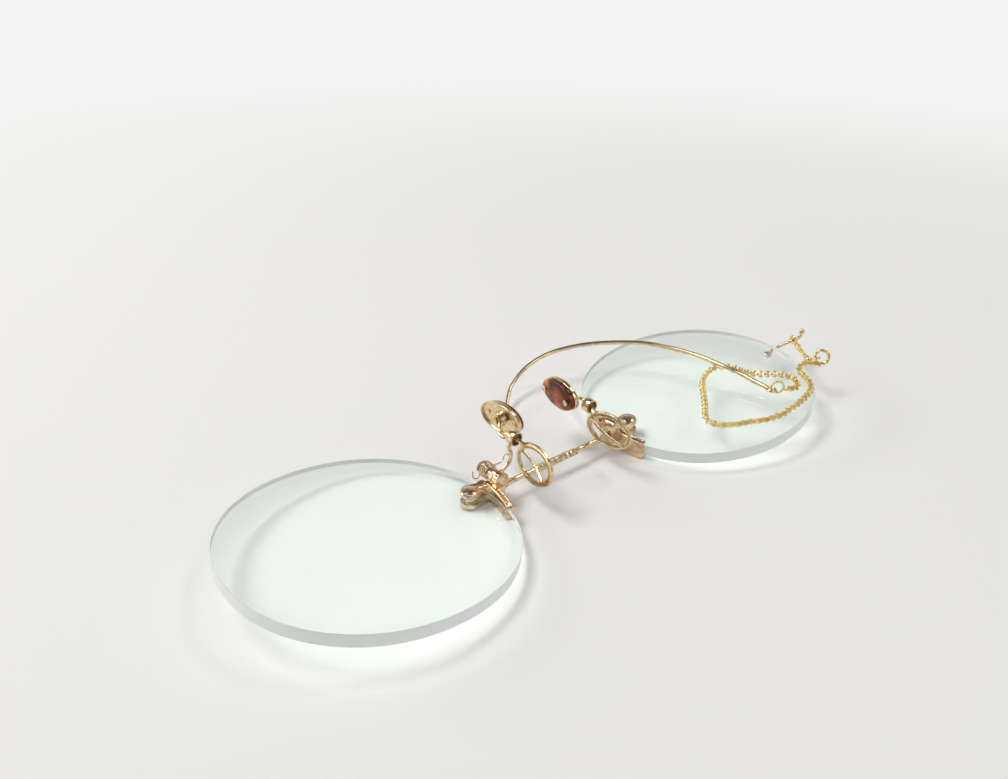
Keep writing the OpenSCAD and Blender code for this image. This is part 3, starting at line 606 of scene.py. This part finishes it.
# %% Bridge bar
bar = use(softened("bridge_bar", "bridge_bar_metal", 0.07, 3), "bridge_bar")

# %% [markdown]
# ## The guard springs
#
# Each guard turns on a pivot screw and is pressed inwards by a coil spring of hard wire. Its turns
# stand a little apart, so that each one shows. The route of the wire is worked out from the turns,
# the radius and the pitch, with a leg at each end.

# %% Coil springs
PIVOT_IN, PIVOT_UP = 1.25, 1.85
PIVOT_X, AXIS_Z = EDGE_X - PIVOT_IN, BACK_Z + PIVOT_UP
GAP, HUB_DROP, HUB_H = 0.06, 0.25, 1.45
HUB_LOW = GAP - HUB_DROP
HUB_HIGH = HUB_LOW + HUB_H
COIL_R, COIL_WIRE, COIL_TURNS, COIL_PITCH = 1.1, 0.105, 4, 0.385
COIL_STEPS = 20
COIL_LOW = HUB_HIGH + GAP + COIL_WIRE


def coil_point(n):
    a = 2 * math.pi * n
    return Vector((PIVOT_X + COIL_R * math.sin(a), COIL_LOW + COIL_PITCH * n,
                   AXIS_Z + COIL_R * math.cos(a)))


coil_start, coil_end = coil_point(0), coil_point(COIL_TURNS)
moving_leg = curve_through([
    coil_start + Vector(s) for s in (
        (-2.75, -0.55, 0.95), (-2.5, -0.35, 1.25), (-2.2, -0.2, 1.05), (-2.0, -0.35, 0.62),
        (-1.5, -0.4, 0.3), (-0.9, -0.25, 0.1), (-0.35, -0.06, 0.02))], 5)
fixed_leg = curve_through([
    coil_end, Vector((EDGE_X - 0.2, coil_end[1], AXIS_Z - COIL_R)),
    Vector((EDGE_X + 0.5, coil_end[1], AXIS_Z - COIL_R + 0.03)),
    Vector((EDGE_X + 0.8, coil_end[1], AXIS_Z - COIL_R + 0.35)),
    Vector((EDGE_X + 0.82, coil_end[1], AXIS_Z - COIL_R + 1.3))], 5)
coil_line = [coil_point(i / COIL_STEPS) for i in range(COIL_STEPS * COIL_TURNS)]
spring = wire("guard_spring_right_wire", moving_leg + coil_line + fixed_leg, COIL_WIRE, 10)
springs = use_both(spring, "guard_spring_wire", "guard_spring")

# %% [markdown]
# ## The nose loops
#
# A nose loop is an oval band with two polished lines and rows of small milled beads on the face
# that holds the nose, and a slim rib that bows across it. The band starts as a circle that is
# drawn out to the oval, extruded inwards and given its thickness. The beads follow the band.

# %% Frame of the loop
LOOP_A, LOOP_B, BAND_W, BAND_T, BAND_IN = 4.27, 3.05, 0.85, 0.36, 0.06
LINES_Z, BEADS_Z, BEAD_R = -0.12, -0.2, 0.125
BEAD_ROWS = ((0.36, 58), (0.62, 54))
OVAL_STEPS = 96
LOOP = place_of((7.45, -3.3, BACK_Z + 4), (-6, "Y"), (6, "Z"), (90, "Z"), (90, "X"), (-7.5, "Z"))


def oval_at(t, inwards, height):
    a, b = LOOP_A - inwards, LOOP_B - inwards
    return Vector((a * math.cos(t), b * math.sin(t), height))


# %% Band
pick_none()
bpy.ops.mesh.primitive_circle_add(vertices=OVAL_STEPS, radius=MM, fill_type="NOTHING")
band = bpy.context.object
bpy.ops.object.mode_set(mode="EDIT")
bpy.ops.mesh.select_all(action="SELECT")
band_a, band_b = LOOP_A - BAND_IN, LOOP_B - BAND_IN
bpy.ops.transform.resize(value=(band_a, band_b, 1))
bpy.ops.mesh.extrude_region_move()
bpy.ops.transform.resize(value=((LOOP_A - BAND_W) / band_a, (LOOP_B - BAND_W) / band_b, 1))
bpy.ops.object.mode_set(mode="OBJECT")
change(outward(band), "SOLIDIFY", thickness=BAND_T * MM, offset=0)
band = smooth(apply_place(break_edges(band, 0.1), LOOP), 40)


# %% Polished lines and beads
def polished_line(name, inwards, radius, sides):
    points = [oval_at(2 * math.pi * i / OVAL_STEPS, inwards, LINES_Z) for i in range(OVAL_STEPS)]
    return apply_place(wire(name, points, radius, sides, closed=True), LOOP)


rim = polished_line("rim", 0.15, 0.15, 10)
inner_rim = polished_line("inner_rim", BAND_W - 0.07, 0.08, 8)

pick_none()
bpy.ops.mesh.primitive_uv_sphere_add(segments=6, ring_count=4, radius=BEAD_R * MM)
bead = bpy.context.object
bead_places = []
for row, (inwards, count) in enumerate(BEAD_ROWS):
    for i in range(count):
        t = 2 * math.pi * (i + 0.5 * row) / count
        bead_places.append(LOOP @ Matrix.Translation(oval_at(t, inwards, BEADS_Z) * MM))
beads = smooth(repeat(bead, bead_places, "loop_beads"), 80)
print("beads on a loop:", len(bead_places))

# %% [markdown]
# The rib lies aslant and to one side of the loop's middle. Its ends are where its straight line
# meets the oval in the middle of the band, which is a quadratic equation. Between them it bows out.

# %% Rib and tang
RIB_TURN, RIB_OFF, RIB_BOW, RIB_R, RIB_HALF = math.radians(32), 0.75, 0.5, 0.24, 12
c, s = math.cos(RIB_TURN), math.sin(RIB_TURN)
a, b = LOOP_A - BAND_W / 2, LOOP_B - BAND_W / 2
qa = (c / a) ** 2 + (s / b) ** 2
qb = RIB_OFF * c * s * (1 / a ** 2 - 1 / b ** 2)
qc = (RIB_OFF * s / a) ** 2 + (RIB_OFF * c / b) ** 2 - 1
root = math.sqrt(qb * qb - qa * qc)
low, high = (-qb - root) / qa, (root - qb) / qa
rib_line = []
for i in range(2 * RIB_HALF + 1):
    t = i / RIB_HALF - 1
    rib_line.append(
        ((low + high) / 2 + (high - low) / 2 * t, -RIB_OFF, -RIB_BOW * (1 - t * t)))
rib = apply_place(wire("rib", rib_line, RIB_R, 10), LOOP @ Matrix.Rotation(RIB_TURN, 4, "Z"))
tang = wire("tang", curve_through([
    COLLAR + Vector(q) for q in ((-0.45, -1, -0.5), (-0.3, -0.4, -0.3), (-0.1, 0.1, -0.15),
                                 (-0.05, 0.6, -0.1))], 4), 0.32, 12)
loop_polished = join("loop_lines", rim, inner_rim, rib, tang)

# %% [markdown]
# ## The pads
#
# A pad is a lozenge of shell, flat behind and domed towards the nose. It starts as half a sphere,
# whose open edge is extruded to give the pad an upright wall before the back is closed.

# %% Shell pads
PAD_L, PAD_W, PAD_DOME, PAD_WALL = 7.6, 4.4, 0.5, 0.45

pick_none()
bpy.ops.mesh.primitive_uv_sphere_add(segments=64, ring_count=28, radius=MM)
pad = bpy.context.object
bpy.ops.object.mode_set(mode="EDIT")
bpy.ops.mesh.select_all(action="SELECT")
bpy.ops.mesh.bisect(plane_co=(0, 0, 0), plane_no=(0, 0, 1), clear_outer=True,
                    threshold=0.0000001)
bpy.ops.mesh.select_all(action="SELECT")
bpy.ops.transform.resize(value=(PAD_L / 2, PAD_W / 2, PAD_DOME), center_override=(0, 0, 0))
bpy.ops.transform.translate(value=(0, 0, -(PAD_WALL + 0.01) * MM))
bpy.ops.mesh.select_mode(type="EDGE")
bpy.ops.mesh.select_all(action="DESELECT")
bpy.ops.mesh.select_non_manifold()
bpy.ops.mesh.extrude_region_move()
bpy.ops.transform.translate(value=(0, 0, PAD_WALL * MM))
bpy.ops.mesh.edge_face_add()
bpy.ops.object.mode_set(mode="OBJECT")
pad.name = "shell_pad_right"
break_edges(outward(pad), 0.12, 3, 50)
pad = smooth(apply_place(pad, PAD), 50)
pads = use_both(pad, "shell_pad", "pad")

# %% [markdown]
# ## Finishes
#
# Old gold-filled metal is bright where it is handled and dull brown in the hollows. One group gives
# every metal that look: a clean colour and a tarnished one, mixed by two sizes of noise. Another
# gives fine scratches for the bump. Both read Object coordinates, so they stay put on the piece.

# %% Group: tarnish
def new_group(name, inputs, outputs):
    group = bpy.data.node_groups.new(name, "ShaderNodeTree")
    for kind, label, value in inputs:
        socket = group.interface.new_socket(label, in_out="INPUT", socket_type=kind)
        socket.default_value = value
    for kind, label in outputs:
        group.interface.new_socket(label, in_out="OUTPUT", socket_type=kind)
    return group, group.nodes.new("NodeGroupInput"), group.nodes.new("NodeGroupOutput")


tarnish, t_in, t_out = new_group(
    "Tarnish",
    [("NodeSocketColor", "Clean", (0.8, 0.6, 0.3, 1)),
     ("NodeSocketColor", "Dull", (0.3, 0.2, 0.1, 1)),
     ("NodeSocketFloat", "Amount", 0.5), ("NodeSocketFloat", "Scale", 900),
     ("NodeSocketFloat", "Smooth", 0.18), ("NodeSocketFloat", "Rough", 0.45)],
    [("NodeSocketColor", "Color"), ("NodeSocketFloat", "Roughness"),
     ("NodeSocketFloat", "Height")])
node, tie = tarnish.nodes.new, tarnish.links.new
where = node("ShaderNodeTexCoord")
cloud = node("ShaderNodeTexNoise")
cloud.inputs["Detail"].default_value = 6
cloud.inputs["Roughness"].default_value = 0.62
tie(where.outputs["Object"], cloud.inputs["Vector"])
tie(t_in.outputs["Scale"], cloud.inputs["Scale"])
finer = node("ShaderNodeMath")
finer.operation = "MULTIPLY"
finer.inputs[1].default_value = 6.5
tie(t_in.outputs["Scale"], finer.inputs[0])
pits = node("ShaderNodeTexNoise")
pits.inputs["Detail"].default_value = 3
tie(where.outputs["Object"], pits.inputs["Vector"])
tie(finer.outputs[0], pits.inputs["Scale"])
patch = node("ShaderNodeMapRange")
patch.inputs["From Min"].default_value = 0.42
patch.inputs["From Max"].default_value = 0.68
tie(cloud.outputs["Fac"], patch.inputs["Value"])
speck = node("ShaderNodeMapRange")
speck.inputs["From Min"].default_value = 0.56
speck.inputs["From Max"].default_value = 0.7
tie(pits.outputs["Fac"], speck.inputs["Value"])
both = node("ShaderNodeMath")
both.operation = "MAXIMUM"
tie(patch.outputs["Result"], both.inputs[0])
tie(speck.outputs["Result"], both.inputs[1])
mask = node("ShaderNodeMath")
mask.operation = "MULTIPLY"
tie(both.outputs[0], mask.inputs[0])
tie(t_in.outputs["Amount"], mask.inputs[1])
tint = node("ShaderNodeMix")
tint.data_type = "RGBA"
tie(mask.outputs[0], tint.inputs["Factor"])
tie(t_in.outputs["Clean"], tint.inputs["A"])
tie(t_in.outputs["Dull"], tint.inputs["B"])
gloss = node("ShaderNodeMapRange")
tie(mask.outputs[0], gloss.inputs["Value"])
tie(t_in.outputs["Smooth"], gloss.inputs["To Min"])
tie(t_in.outputs["Rough"], gloss.inputs["To Max"])
tie(tint.outputs["Result"], t_out.inputs["Color"])
tie(gloss.outputs["Result"], t_out.inputs["Roughness"])
tie(pits.outputs["Fac"], t_out.inputs["Height"])
print("group:", tarnish.name)

# %% Group: fine scratches
scratches, s_in, s_out = new_group(
    "Fine scratches",
    [("NodeSocketFloat", "Scale", 1500), ("NodeSocketFloat", "Stretch", 14)],
    [("NodeSocketFloat", "Height")])
node, tie = scratches.nodes.new, scratches.links.new
where = node("ShaderNodeTexCoord")
stretch = node("ShaderNodeCombineXYZ")
stretch.inputs["Y"].default_value = 1
stretch.inputs["Z"].default_value = 1
shrink = node("ShaderNodeMath")
shrink.operation = "DIVIDE"
shrink.inputs[0].default_value = 1
tie(s_in.outputs["Stretch"], shrink.inputs[1])
tie(shrink.outputs[0], stretch.inputs["X"])
drawn = node("ShaderNodeVectorMath")
drawn.operation = "MULTIPLY"
tie(where.outputs["Object"], drawn.inputs[0])
tie(stretch.outputs[0], drawn.inputs[1])
lines = node("ShaderNodeTexNoise")
lines.inputs["Detail"].default_value = 4
lines.inputs["Roughness"].default_value = 0.7
tie(drawn.outputs[0], lines.inputs["Vector"])
tie(s_in.outputs["Scale"], lines.inputs["Scale"])
tie(lines.outputs["Fac"], s_out.inputs["Height"])
print("group:", scratches.name)

# %% [markdown]
# A finish is one Principled shader. Its colour and roughness come from the tarnish group and its
# bump from the two heights together.

# %% Metal finishes
def new_material(name):
    material = bpy.data.materials.new(name)
    material.use_nodes = True
    nodes = material.node_tree.nodes
    return material, nodes, material.node_tree.links.new, nodes["Principled BSDF"]


def metal(name, clean, dull, amount, scale, shine, dulled, bump=0.35, stretch=10):
    material, nodes, tie, shader = new_material(name)
    shader.inputs["Metallic"].default_value = 1
    skin = nodes.new("ShaderNodeGroup")
    skin.node_tree = tarnish
    for label, value in (("Clean", (*clean, 1)), ("Dull", (*dull, 1)), ("Amount", amount),
                         ("Scale", scale), ("Smooth", shine), ("Rough", dulled)):
        skin.inputs[label].default_value = value
    fine = nodes.new("ShaderNodeGroup")
    fine.node_tree = scratches
    fine.inputs["Stretch"].default_value = stretch
    heights = nodes.new("ShaderNodeMath")
    heights.operation = "ADD"
    tie(skin.outputs["Height"], heights.inputs[0])
    tie(fine.outputs["Height"], heights.inputs[1])
    relief = nodes.new("ShaderNodeBump")
    relief.inputs["Strength"].default_value = bump
    relief.inputs["Distance"].default_value = 0.00004
    tie(heights.outputs[0], relief.inputs["Height"])
    tie(relief.outputs["Normal"], shader.inputs["Normal"])
    tie(skin.outputs["Color"], shader.inputs["Base Color"])
    tie(skin.outputs["Roughness"], shader.inputs["Roughness"])
    return material


rose_gold = metal("worn_rose_gold", (0.88, 0.67, 0.45), (0.34, 0.19, 0.1), 0.6, 1500, 0.1, 0.28)
yellow_gold = metal("worn_gold", (0.88, 0.71, 0.44), (0.34, 0.22, 0.1), 0.6, 1600, 0.1, 0.28)
chain_gold = metal("chain_gold", (0.95, 0.76, 0.34), (0.4, 0.25, 0.07),
                   0.6, 1900, 0.08, 0.24, 0.2)
milled_gold = metal("milled_gold", (0.86, 0.73, 0.42), (0.38, 0.3, 0.13),
                    0.5, 1900, 0.15, 0.3, 0.2)
# A near-black gold for the loop's nose face: painted shade between the milled beads.
painted_shade_gold = metal("painted_shade_gold", (0.2, 0.16, 0.08), (0.05, 0.04, 0.02), 0.9, 1900, 0.4, 0.6, 0.4)
# Dark brass for the pivot screws, and for the collar's plug, which is painted shade.
dark_brass = metal("dark_brass", (0.3, 0.18, 0.09), (0.08, 0.045, 0.025), 0.8, 1500, 0.3, 0.5)
spring_steel = metal("spring_gold", (0.9, 0.72, 0.5), (0.34, 0.2, 0.11),
                     0.5, 1900, 0.12, 0.3, 0.2)

# %% [markdown]
# The middle of the bar is milled: fine slanting ridges that catch the light. They are a wave of
# bands, laid aslant, and a mask along the bar keeps its ends smooth.

# %% Milled bar
bar_metal = metal("milled_bar", (0.93, 0.77, 0.5), (0.38, 0.24, 0.12), 0.6, 1500, 0.12, 0.3)
nodes, tie = bar_metal.node_tree.nodes, bar_metal.node_tree.links.new
shader = nodes["Principled BSDF"]
where = nodes.new("ShaderNodeTexCoord")
aslant = nodes.new("ShaderNodeMapping")
aslant.inputs["Rotation"].default_value = (math.radians(35), math.radians(20), math.radians(38))
tie(where.outputs["Object"], aslant.inputs["Vector"])
bands = nodes.new("ShaderNodeTexWave")
bands.inputs["Scale"].default_value = 420
bands.inputs["Distortion"].default_value = 3
tie(aslant.outputs["Vector"], bands.inputs["Vector"])
split = nodes.new("ShaderNodeSeparateXYZ")
tie(where.outputs["Object"], split.inputs["Vector"])
away = nodes.new("ShaderNodeMath")
away.operation = "ABSOLUTE"
tie(split.outputs["X"], away.inputs[0])
middle = nodes.new("ShaderNodeMapRange")
middle.inputs["From Min"].default_value = 0.0037
middle.inputs["From Max"].default_value = 0.0042
middle.inputs["To Min"].default_value = 1
middle.inputs["To Max"].default_value = 0
tie(away.outputs[0], middle.inputs["Value"])
ridges = nodes.new("ShaderNodeMath")
ridges.operation = "MULTIPLY"
tie(bands.outputs["Fac"], ridges.inputs[0])
tie(middle.outputs["Result"], ridges.inputs[1])
milling = nodes.new("ShaderNodeBump")
milling.inputs["Strength"].default_value = 0.8
milling.inputs["Distance"].default_value = 0.0003
tie(ridges.outputs[0], milling.inputs["Height"])
old = shader.inputs["Normal"].links[0].from_node
tie(old.outputs["Normal"], milling.inputs["Normal"])
tie(milling.outputs["Normal"], shader.inputs["Normal"])
print("finish:", bar_metal.name)

# %% [markdown]
# Tortoiseshell is a clear amber with dark brown clouds in it. It lets some light through, and its
# surface is polished, so it has a clear coat.

# %% Tortoiseshell
shell, nodes, tie, shader = new_material("tortoiseshell")
where = nodes.new("ShaderNodeTexCoord")
mottle = nodes.new("ShaderNodeTexNoise")
mottle.inputs["Scale"].default_value = 260
mottle.inputs["Detail"].default_value = 4
mottle.inputs["Distortion"].default_value = 0.8
tie(where.outputs["Object"], mottle.inputs["Vector"])
colours = nodes.new("ShaderNodeValToRGB")
colours.color_ramp.elements[0].position = 0.36
colours.color_ramp.elements[0].color = (0.06, 0.01, 0.003, 1)
colours.color_ramp.elements[1].position = 0.64
colours.color_ramp.elements[1].color = (0.85, 0.28, 0.03, 1)
between = colours.color_ramp.elements.new(0.5)
between.color = (0.38, 0.07, 0.01, 1)
tie(mottle.outputs["Fac"], colours.inputs["Fac"])
tie(colours.outputs["Color"], shader.inputs["Base Color"])
wear = nodes.new("ShaderNodeTexNoise")
wear.inputs["Scale"].default_value = 2600
tie(where.outputs["Object"], wear.inputs["Vector"])
polish = nodes.new("ShaderNodeMapRange")
polish.inputs["To Min"].default_value = 0.08
polish.inputs["To Max"].default_value = 0.26
tie(wear.outputs["Fac"], polish.inputs["Value"])
tie(polish.outputs["Result"], shader.inputs["Roughness"])
shader.inputs["Transmission Weight"].default_value = 0.25
shader.inputs["IOR"].default_value = 1.54
shader.inputs["Coat Weight"].default_value = 0.12
shader.inputs["Coat Roughness"].default_value = 0.06
shader.inputs["Specular IOR Level"].default_value = 0.3
print("finish:", shell.name)

# %% [markdown]
# The lens glass is clear, with the faintest green. A little dust and a few smears raise its
# roughness in patches. A shadow ray passes through a pane of clear stuff instead, since light goes
# through real glass and leaves only a faint shadow.

# %% Lens glass
glass, nodes, tie, shader = new_material("lens_glass")
shader.inputs["Base Color"].default_value = (0.93, 0.975, 0.96, 1)
shader.inputs["Transmission Weight"].default_value = 1
shader.inputs["IOR"].default_value = 1.52
where = nodes.new("ShaderNodeTexCoord")
smear = nodes.new("ShaderNodeTexNoise")
smear.inputs["Scale"].default_value = 160
smear.inputs["Detail"].default_value = 5
smear.inputs["Distortion"].default_value = 1.5
tie(where.outputs["Object"], smear.inputs["Vector"])
film = nodes.new("ShaderNodeMapRange")
film.inputs["From Min"].default_value = 0.5
film.inputs["From Max"].default_value = 0.8
film.inputs["To Min"].default_value = 0.0
film.inputs["To Max"].default_value = 0.05
tie(smear.outputs["Fac"], film.inputs["Value"])
tie(film.outputs["Result"], shader.inputs["Roughness"])
rays = nodes.new("ShaderNodeLightPath")
pane = nodes.new("ShaderNodeBsdfTransparent")
pane.inputs["Color"].default_value = (0.7, 0.72, 0.71, 1)
through = nodes.new("ShaderNodeMixShader")
tie(rays.outputs["Is Shadow Ray"], through.inputs["Fac"])
tie(shader.outputs["BSDF"], through.inputs[1])
tie(pane.outputs["BSDF"], through.inputs[2])
tie(through.outputs["Shader"], nodes["Material Output"].inputs["Surface"])
print("finish:", glass.name)

# %% Ground edge of the lenses
ground, nodes, tie, shader = new_material("ground_edge")
shader.inputs["Base Color"].default_value = (0.93, 0.96, 0.95, 1)
shader.inputs["Transmission Weight"].default_value = 0.15
shader.inputs["IOR"].default_value = 1.52
where = nodes.new("ShaderNodeTexCoord")
grit = nodes.new("ShaderNodeTexNoise")
grit.inputs["Scale"].default_value = 3000
tie(where.outputs["Object"], grit.inputs["Vector"])
frost = nodes.new("ShaderNodeMapRange")
frost.inputs["To Min"].default_value = 0.25
frost.inputs["To Max"].default_value = 0.5
tie(grit.outputs["Fac"], frost.inputs["Value"])
tie(frost.outputs["Result"], shader.inputs["Roughness"])
print("finish:", ground.name)


# %% Put the finishes on
def dress(piece, material):
    piece.data.materials.clear()
    piece.data.materials.append(material)


for piece in metal_rose:
    dress(piece, rose_gold)
for piece in metal_gold:
    dress(piece, yellow_gold)
for piece in metal_dark:
    dress(piece, dark_brass)
for piece in (chain_links, end_ring, hanger, hanger_ring):
    dress(piece, chain_gold)
for piece in (ear_hook, lens_hook):
    dress(piece, yellow_gold)
for piece in springs:
    dress(piece, spring_steel)
for piece in pads:
    dress(piece, shell)
for piece in (lens_left, lens_right):
    dress(piece, glass)
    piece.data.materials.append(ground)
    lean = math.sin(LENS_TILT) * (1 if piece is lens_left else -1)
    flat = Vector((lean, 0, math.cos(LENS_TILT)))
    for face in piece.data.polygons:
        if abs(face.normal.dot(flat)) < 0.5:
            face.material_index = 1
dress(bar, bar_metal)

# %% [markdown]
# The loop is polished, and the face that holds the nose is painted dark, as painted shade between
# its bright beads. The collar's band is bright and its plug dark, as painted shade inside it. Each
# part gets its finish before they are joined, and the left loop and collar are then mirrored from
# the right ones.

# %% Finish the loops and collars
dress(loop_polished, yellow_gold)
dress(beads, milled_gold)
dress(band, yellow_gold)
# The faces towards the nose get the near-black gold: painted shade between the beads.
band.data.materials.append(painted_shade_gold)
nose_side = (LOOP.to_3x3() @ Vector((0, 0, -1))).normalized()
for face in band.data.polygons:
    if face.normal.dot(nose_side) > 0.5:
        face.material_index = 1
loop = join("nose_loop_right", loop_polished, beads, band)
use_both(loop, "nose_loop", "guard_loop")
dress(collar_band, yellow_gold)
# The plug gets the dark brass: painted shade inside the collar.
dress(collar_shade_plug, dark_brass)
collar = join("guard_collar_metal_right", collar_band, collar_shade_plug)
use_both(collar, "guard_collar_metal", "guard_collar")

# %% [markdown]
# ## Floor and light
#
# A pale floor, a pale world and three soft lamps. The metal mirrors what is round it, so the
# lamps are large panels, and the room is a little darker than the floor. A fourth, smaller lamp
# gives the round metal parts their glint. All stand where the lenses don't mirror them into the
# camera.

# %% Floor
pick_none()
bpy.ops.mesh.primitive_plane_add(size=6, location=(0, 0, -0.00005))
floor = bpy.context.object
floor.name = "floor"
paper, nodes, tie, shader = new_material("pale_floor")
shader.inputs["Base Color"].default_value = (0.88, 0.88, 0.875, 1)
shader.inputs["Roughness"].default_value = 0.8
where = nodes.new("ShaderNodeTexCoord")
far = nodes.new("ShaderNodeVectorMath")
far.operation = "LENGTH"
tie(where.outputs["Object"], far.inputs[0])
fade = nodes.new("ShaderNodeMapRange")
fade.interpolation_type = "SMOOTHSTEP"
fade.inputs["From Min"].default_value = 0.08
fade.inputs["From Max"].default_value = 0.4
tie(far.outputs["Value"], fade.inputs["Value"])
rays = nodes.new("ShaderNodeLightPath")
seen = nodes.new("ShaderNodeMath")
seen.operation = "MAXIMUM"
tie(rays.outputs["Is Camera Ray"], seen.inputs[0])
tie(rays.outputs["Is Transmission Ray"], seen.inputs[1])
seen_too = nodes.new("ShaderNodeMath")
seen_too.operation = "MAXIMUM"
tie(seen.outputs[0], seen_too.inputs[0])
tie(rays.outputs["Is Glossy Ray"], seen_too.inputs[1])
share = nodes.new("ShaderNodeMath")
share.operation = "MULTIPLY"
tie(fade.outputs["Result"], share.inputs[0])
tie(seen_too.outputs[0], share.inputs[1])
white = nodes.new("ShaderNodeEmission")
white.inputs["Color"].default_value = (0.9, 0.9, 0.895, 1)
blend = nodes.new("ShaderNodeMixShader")
tie(share.outputs[0], blend.inputs["Fac"])
tie(shader.outputs["BSDF"], blend.inputs[1])
tie(white.outputs["Emission"], blend.inputs[2])
tie(blend.outputs["Shader"], nodes["Material Output"].inputs["Surface"])
floor.data.materials.append(paper)


# %% Lamps and world
def lamp(name, place, aim, size, watts, colour=(1, 1, 1)):
    bpy.ops.object.light_add(type="AREA", location=Vector(place) * MM)
    light = bpy.context.object
    light.name = name
    light.data.shape = "RECTANGLE"
    light.data.size, light.data.size_y = size[0] * MM, size[1] * MM
    light.data.energy = watts
    light.data.color = colour
    towards = Vector(aim) * MM - light.location
    light.rotation_euler = towards.to_track_quat("-Z", "Y").to_euler()


lamp("key_lamp", (-330, 360, 840), (0, 0, 0), (420, 300), 4.6, (1, 0.985, 0.96))
lamp("fill_lamp", (190, -640, 790), (0, 0, 0), (520, 420), 1.6, (1, 0.99, 0.98))
lamp("edge_lamp", (-520, 620, 320), (0, 0, 5), (420, 160), 1.1)
lamp("glint_lamp", (500, -20, 760), (0, 0, 5), (190, 190), 0.95, (1, 0.985, 0.95))
world = bpy.data.worlds.new("studio")
bpy.context.scene.world = world
world.use_nodes = True
nodes, tie = world.node_tree.nodes, world.node_tree.links.new
where = nodes.new("ShaderNodeTexCoord")
split = nodes.new("ShaderNodeSeparateXYZ")
tie(where.outputs["Generated"], split.inputs["Vector"])
sky = nodes.new("ShaderNodeValToRGB")
sky.color_ramp.elements[0].position = 0.0
sky.color_ramp.elements[0].color = (0.86, 0.855, 0.84, 1)
sky.color_ramp.elements[1].position = 0.7
sky.color_ramp.elements[1].color = (0.14, 0.14, 0.14, 1)
tie(split.outputs["Z"], sky.inputs["Fac"])
tie(sky.outputs["Color"], nodes["Background"].inputs["Color"])
nodes["Background"].inputs["Strength"].default_value = 1
bpy.context.scene.view_settings.view_transform = "Standard"
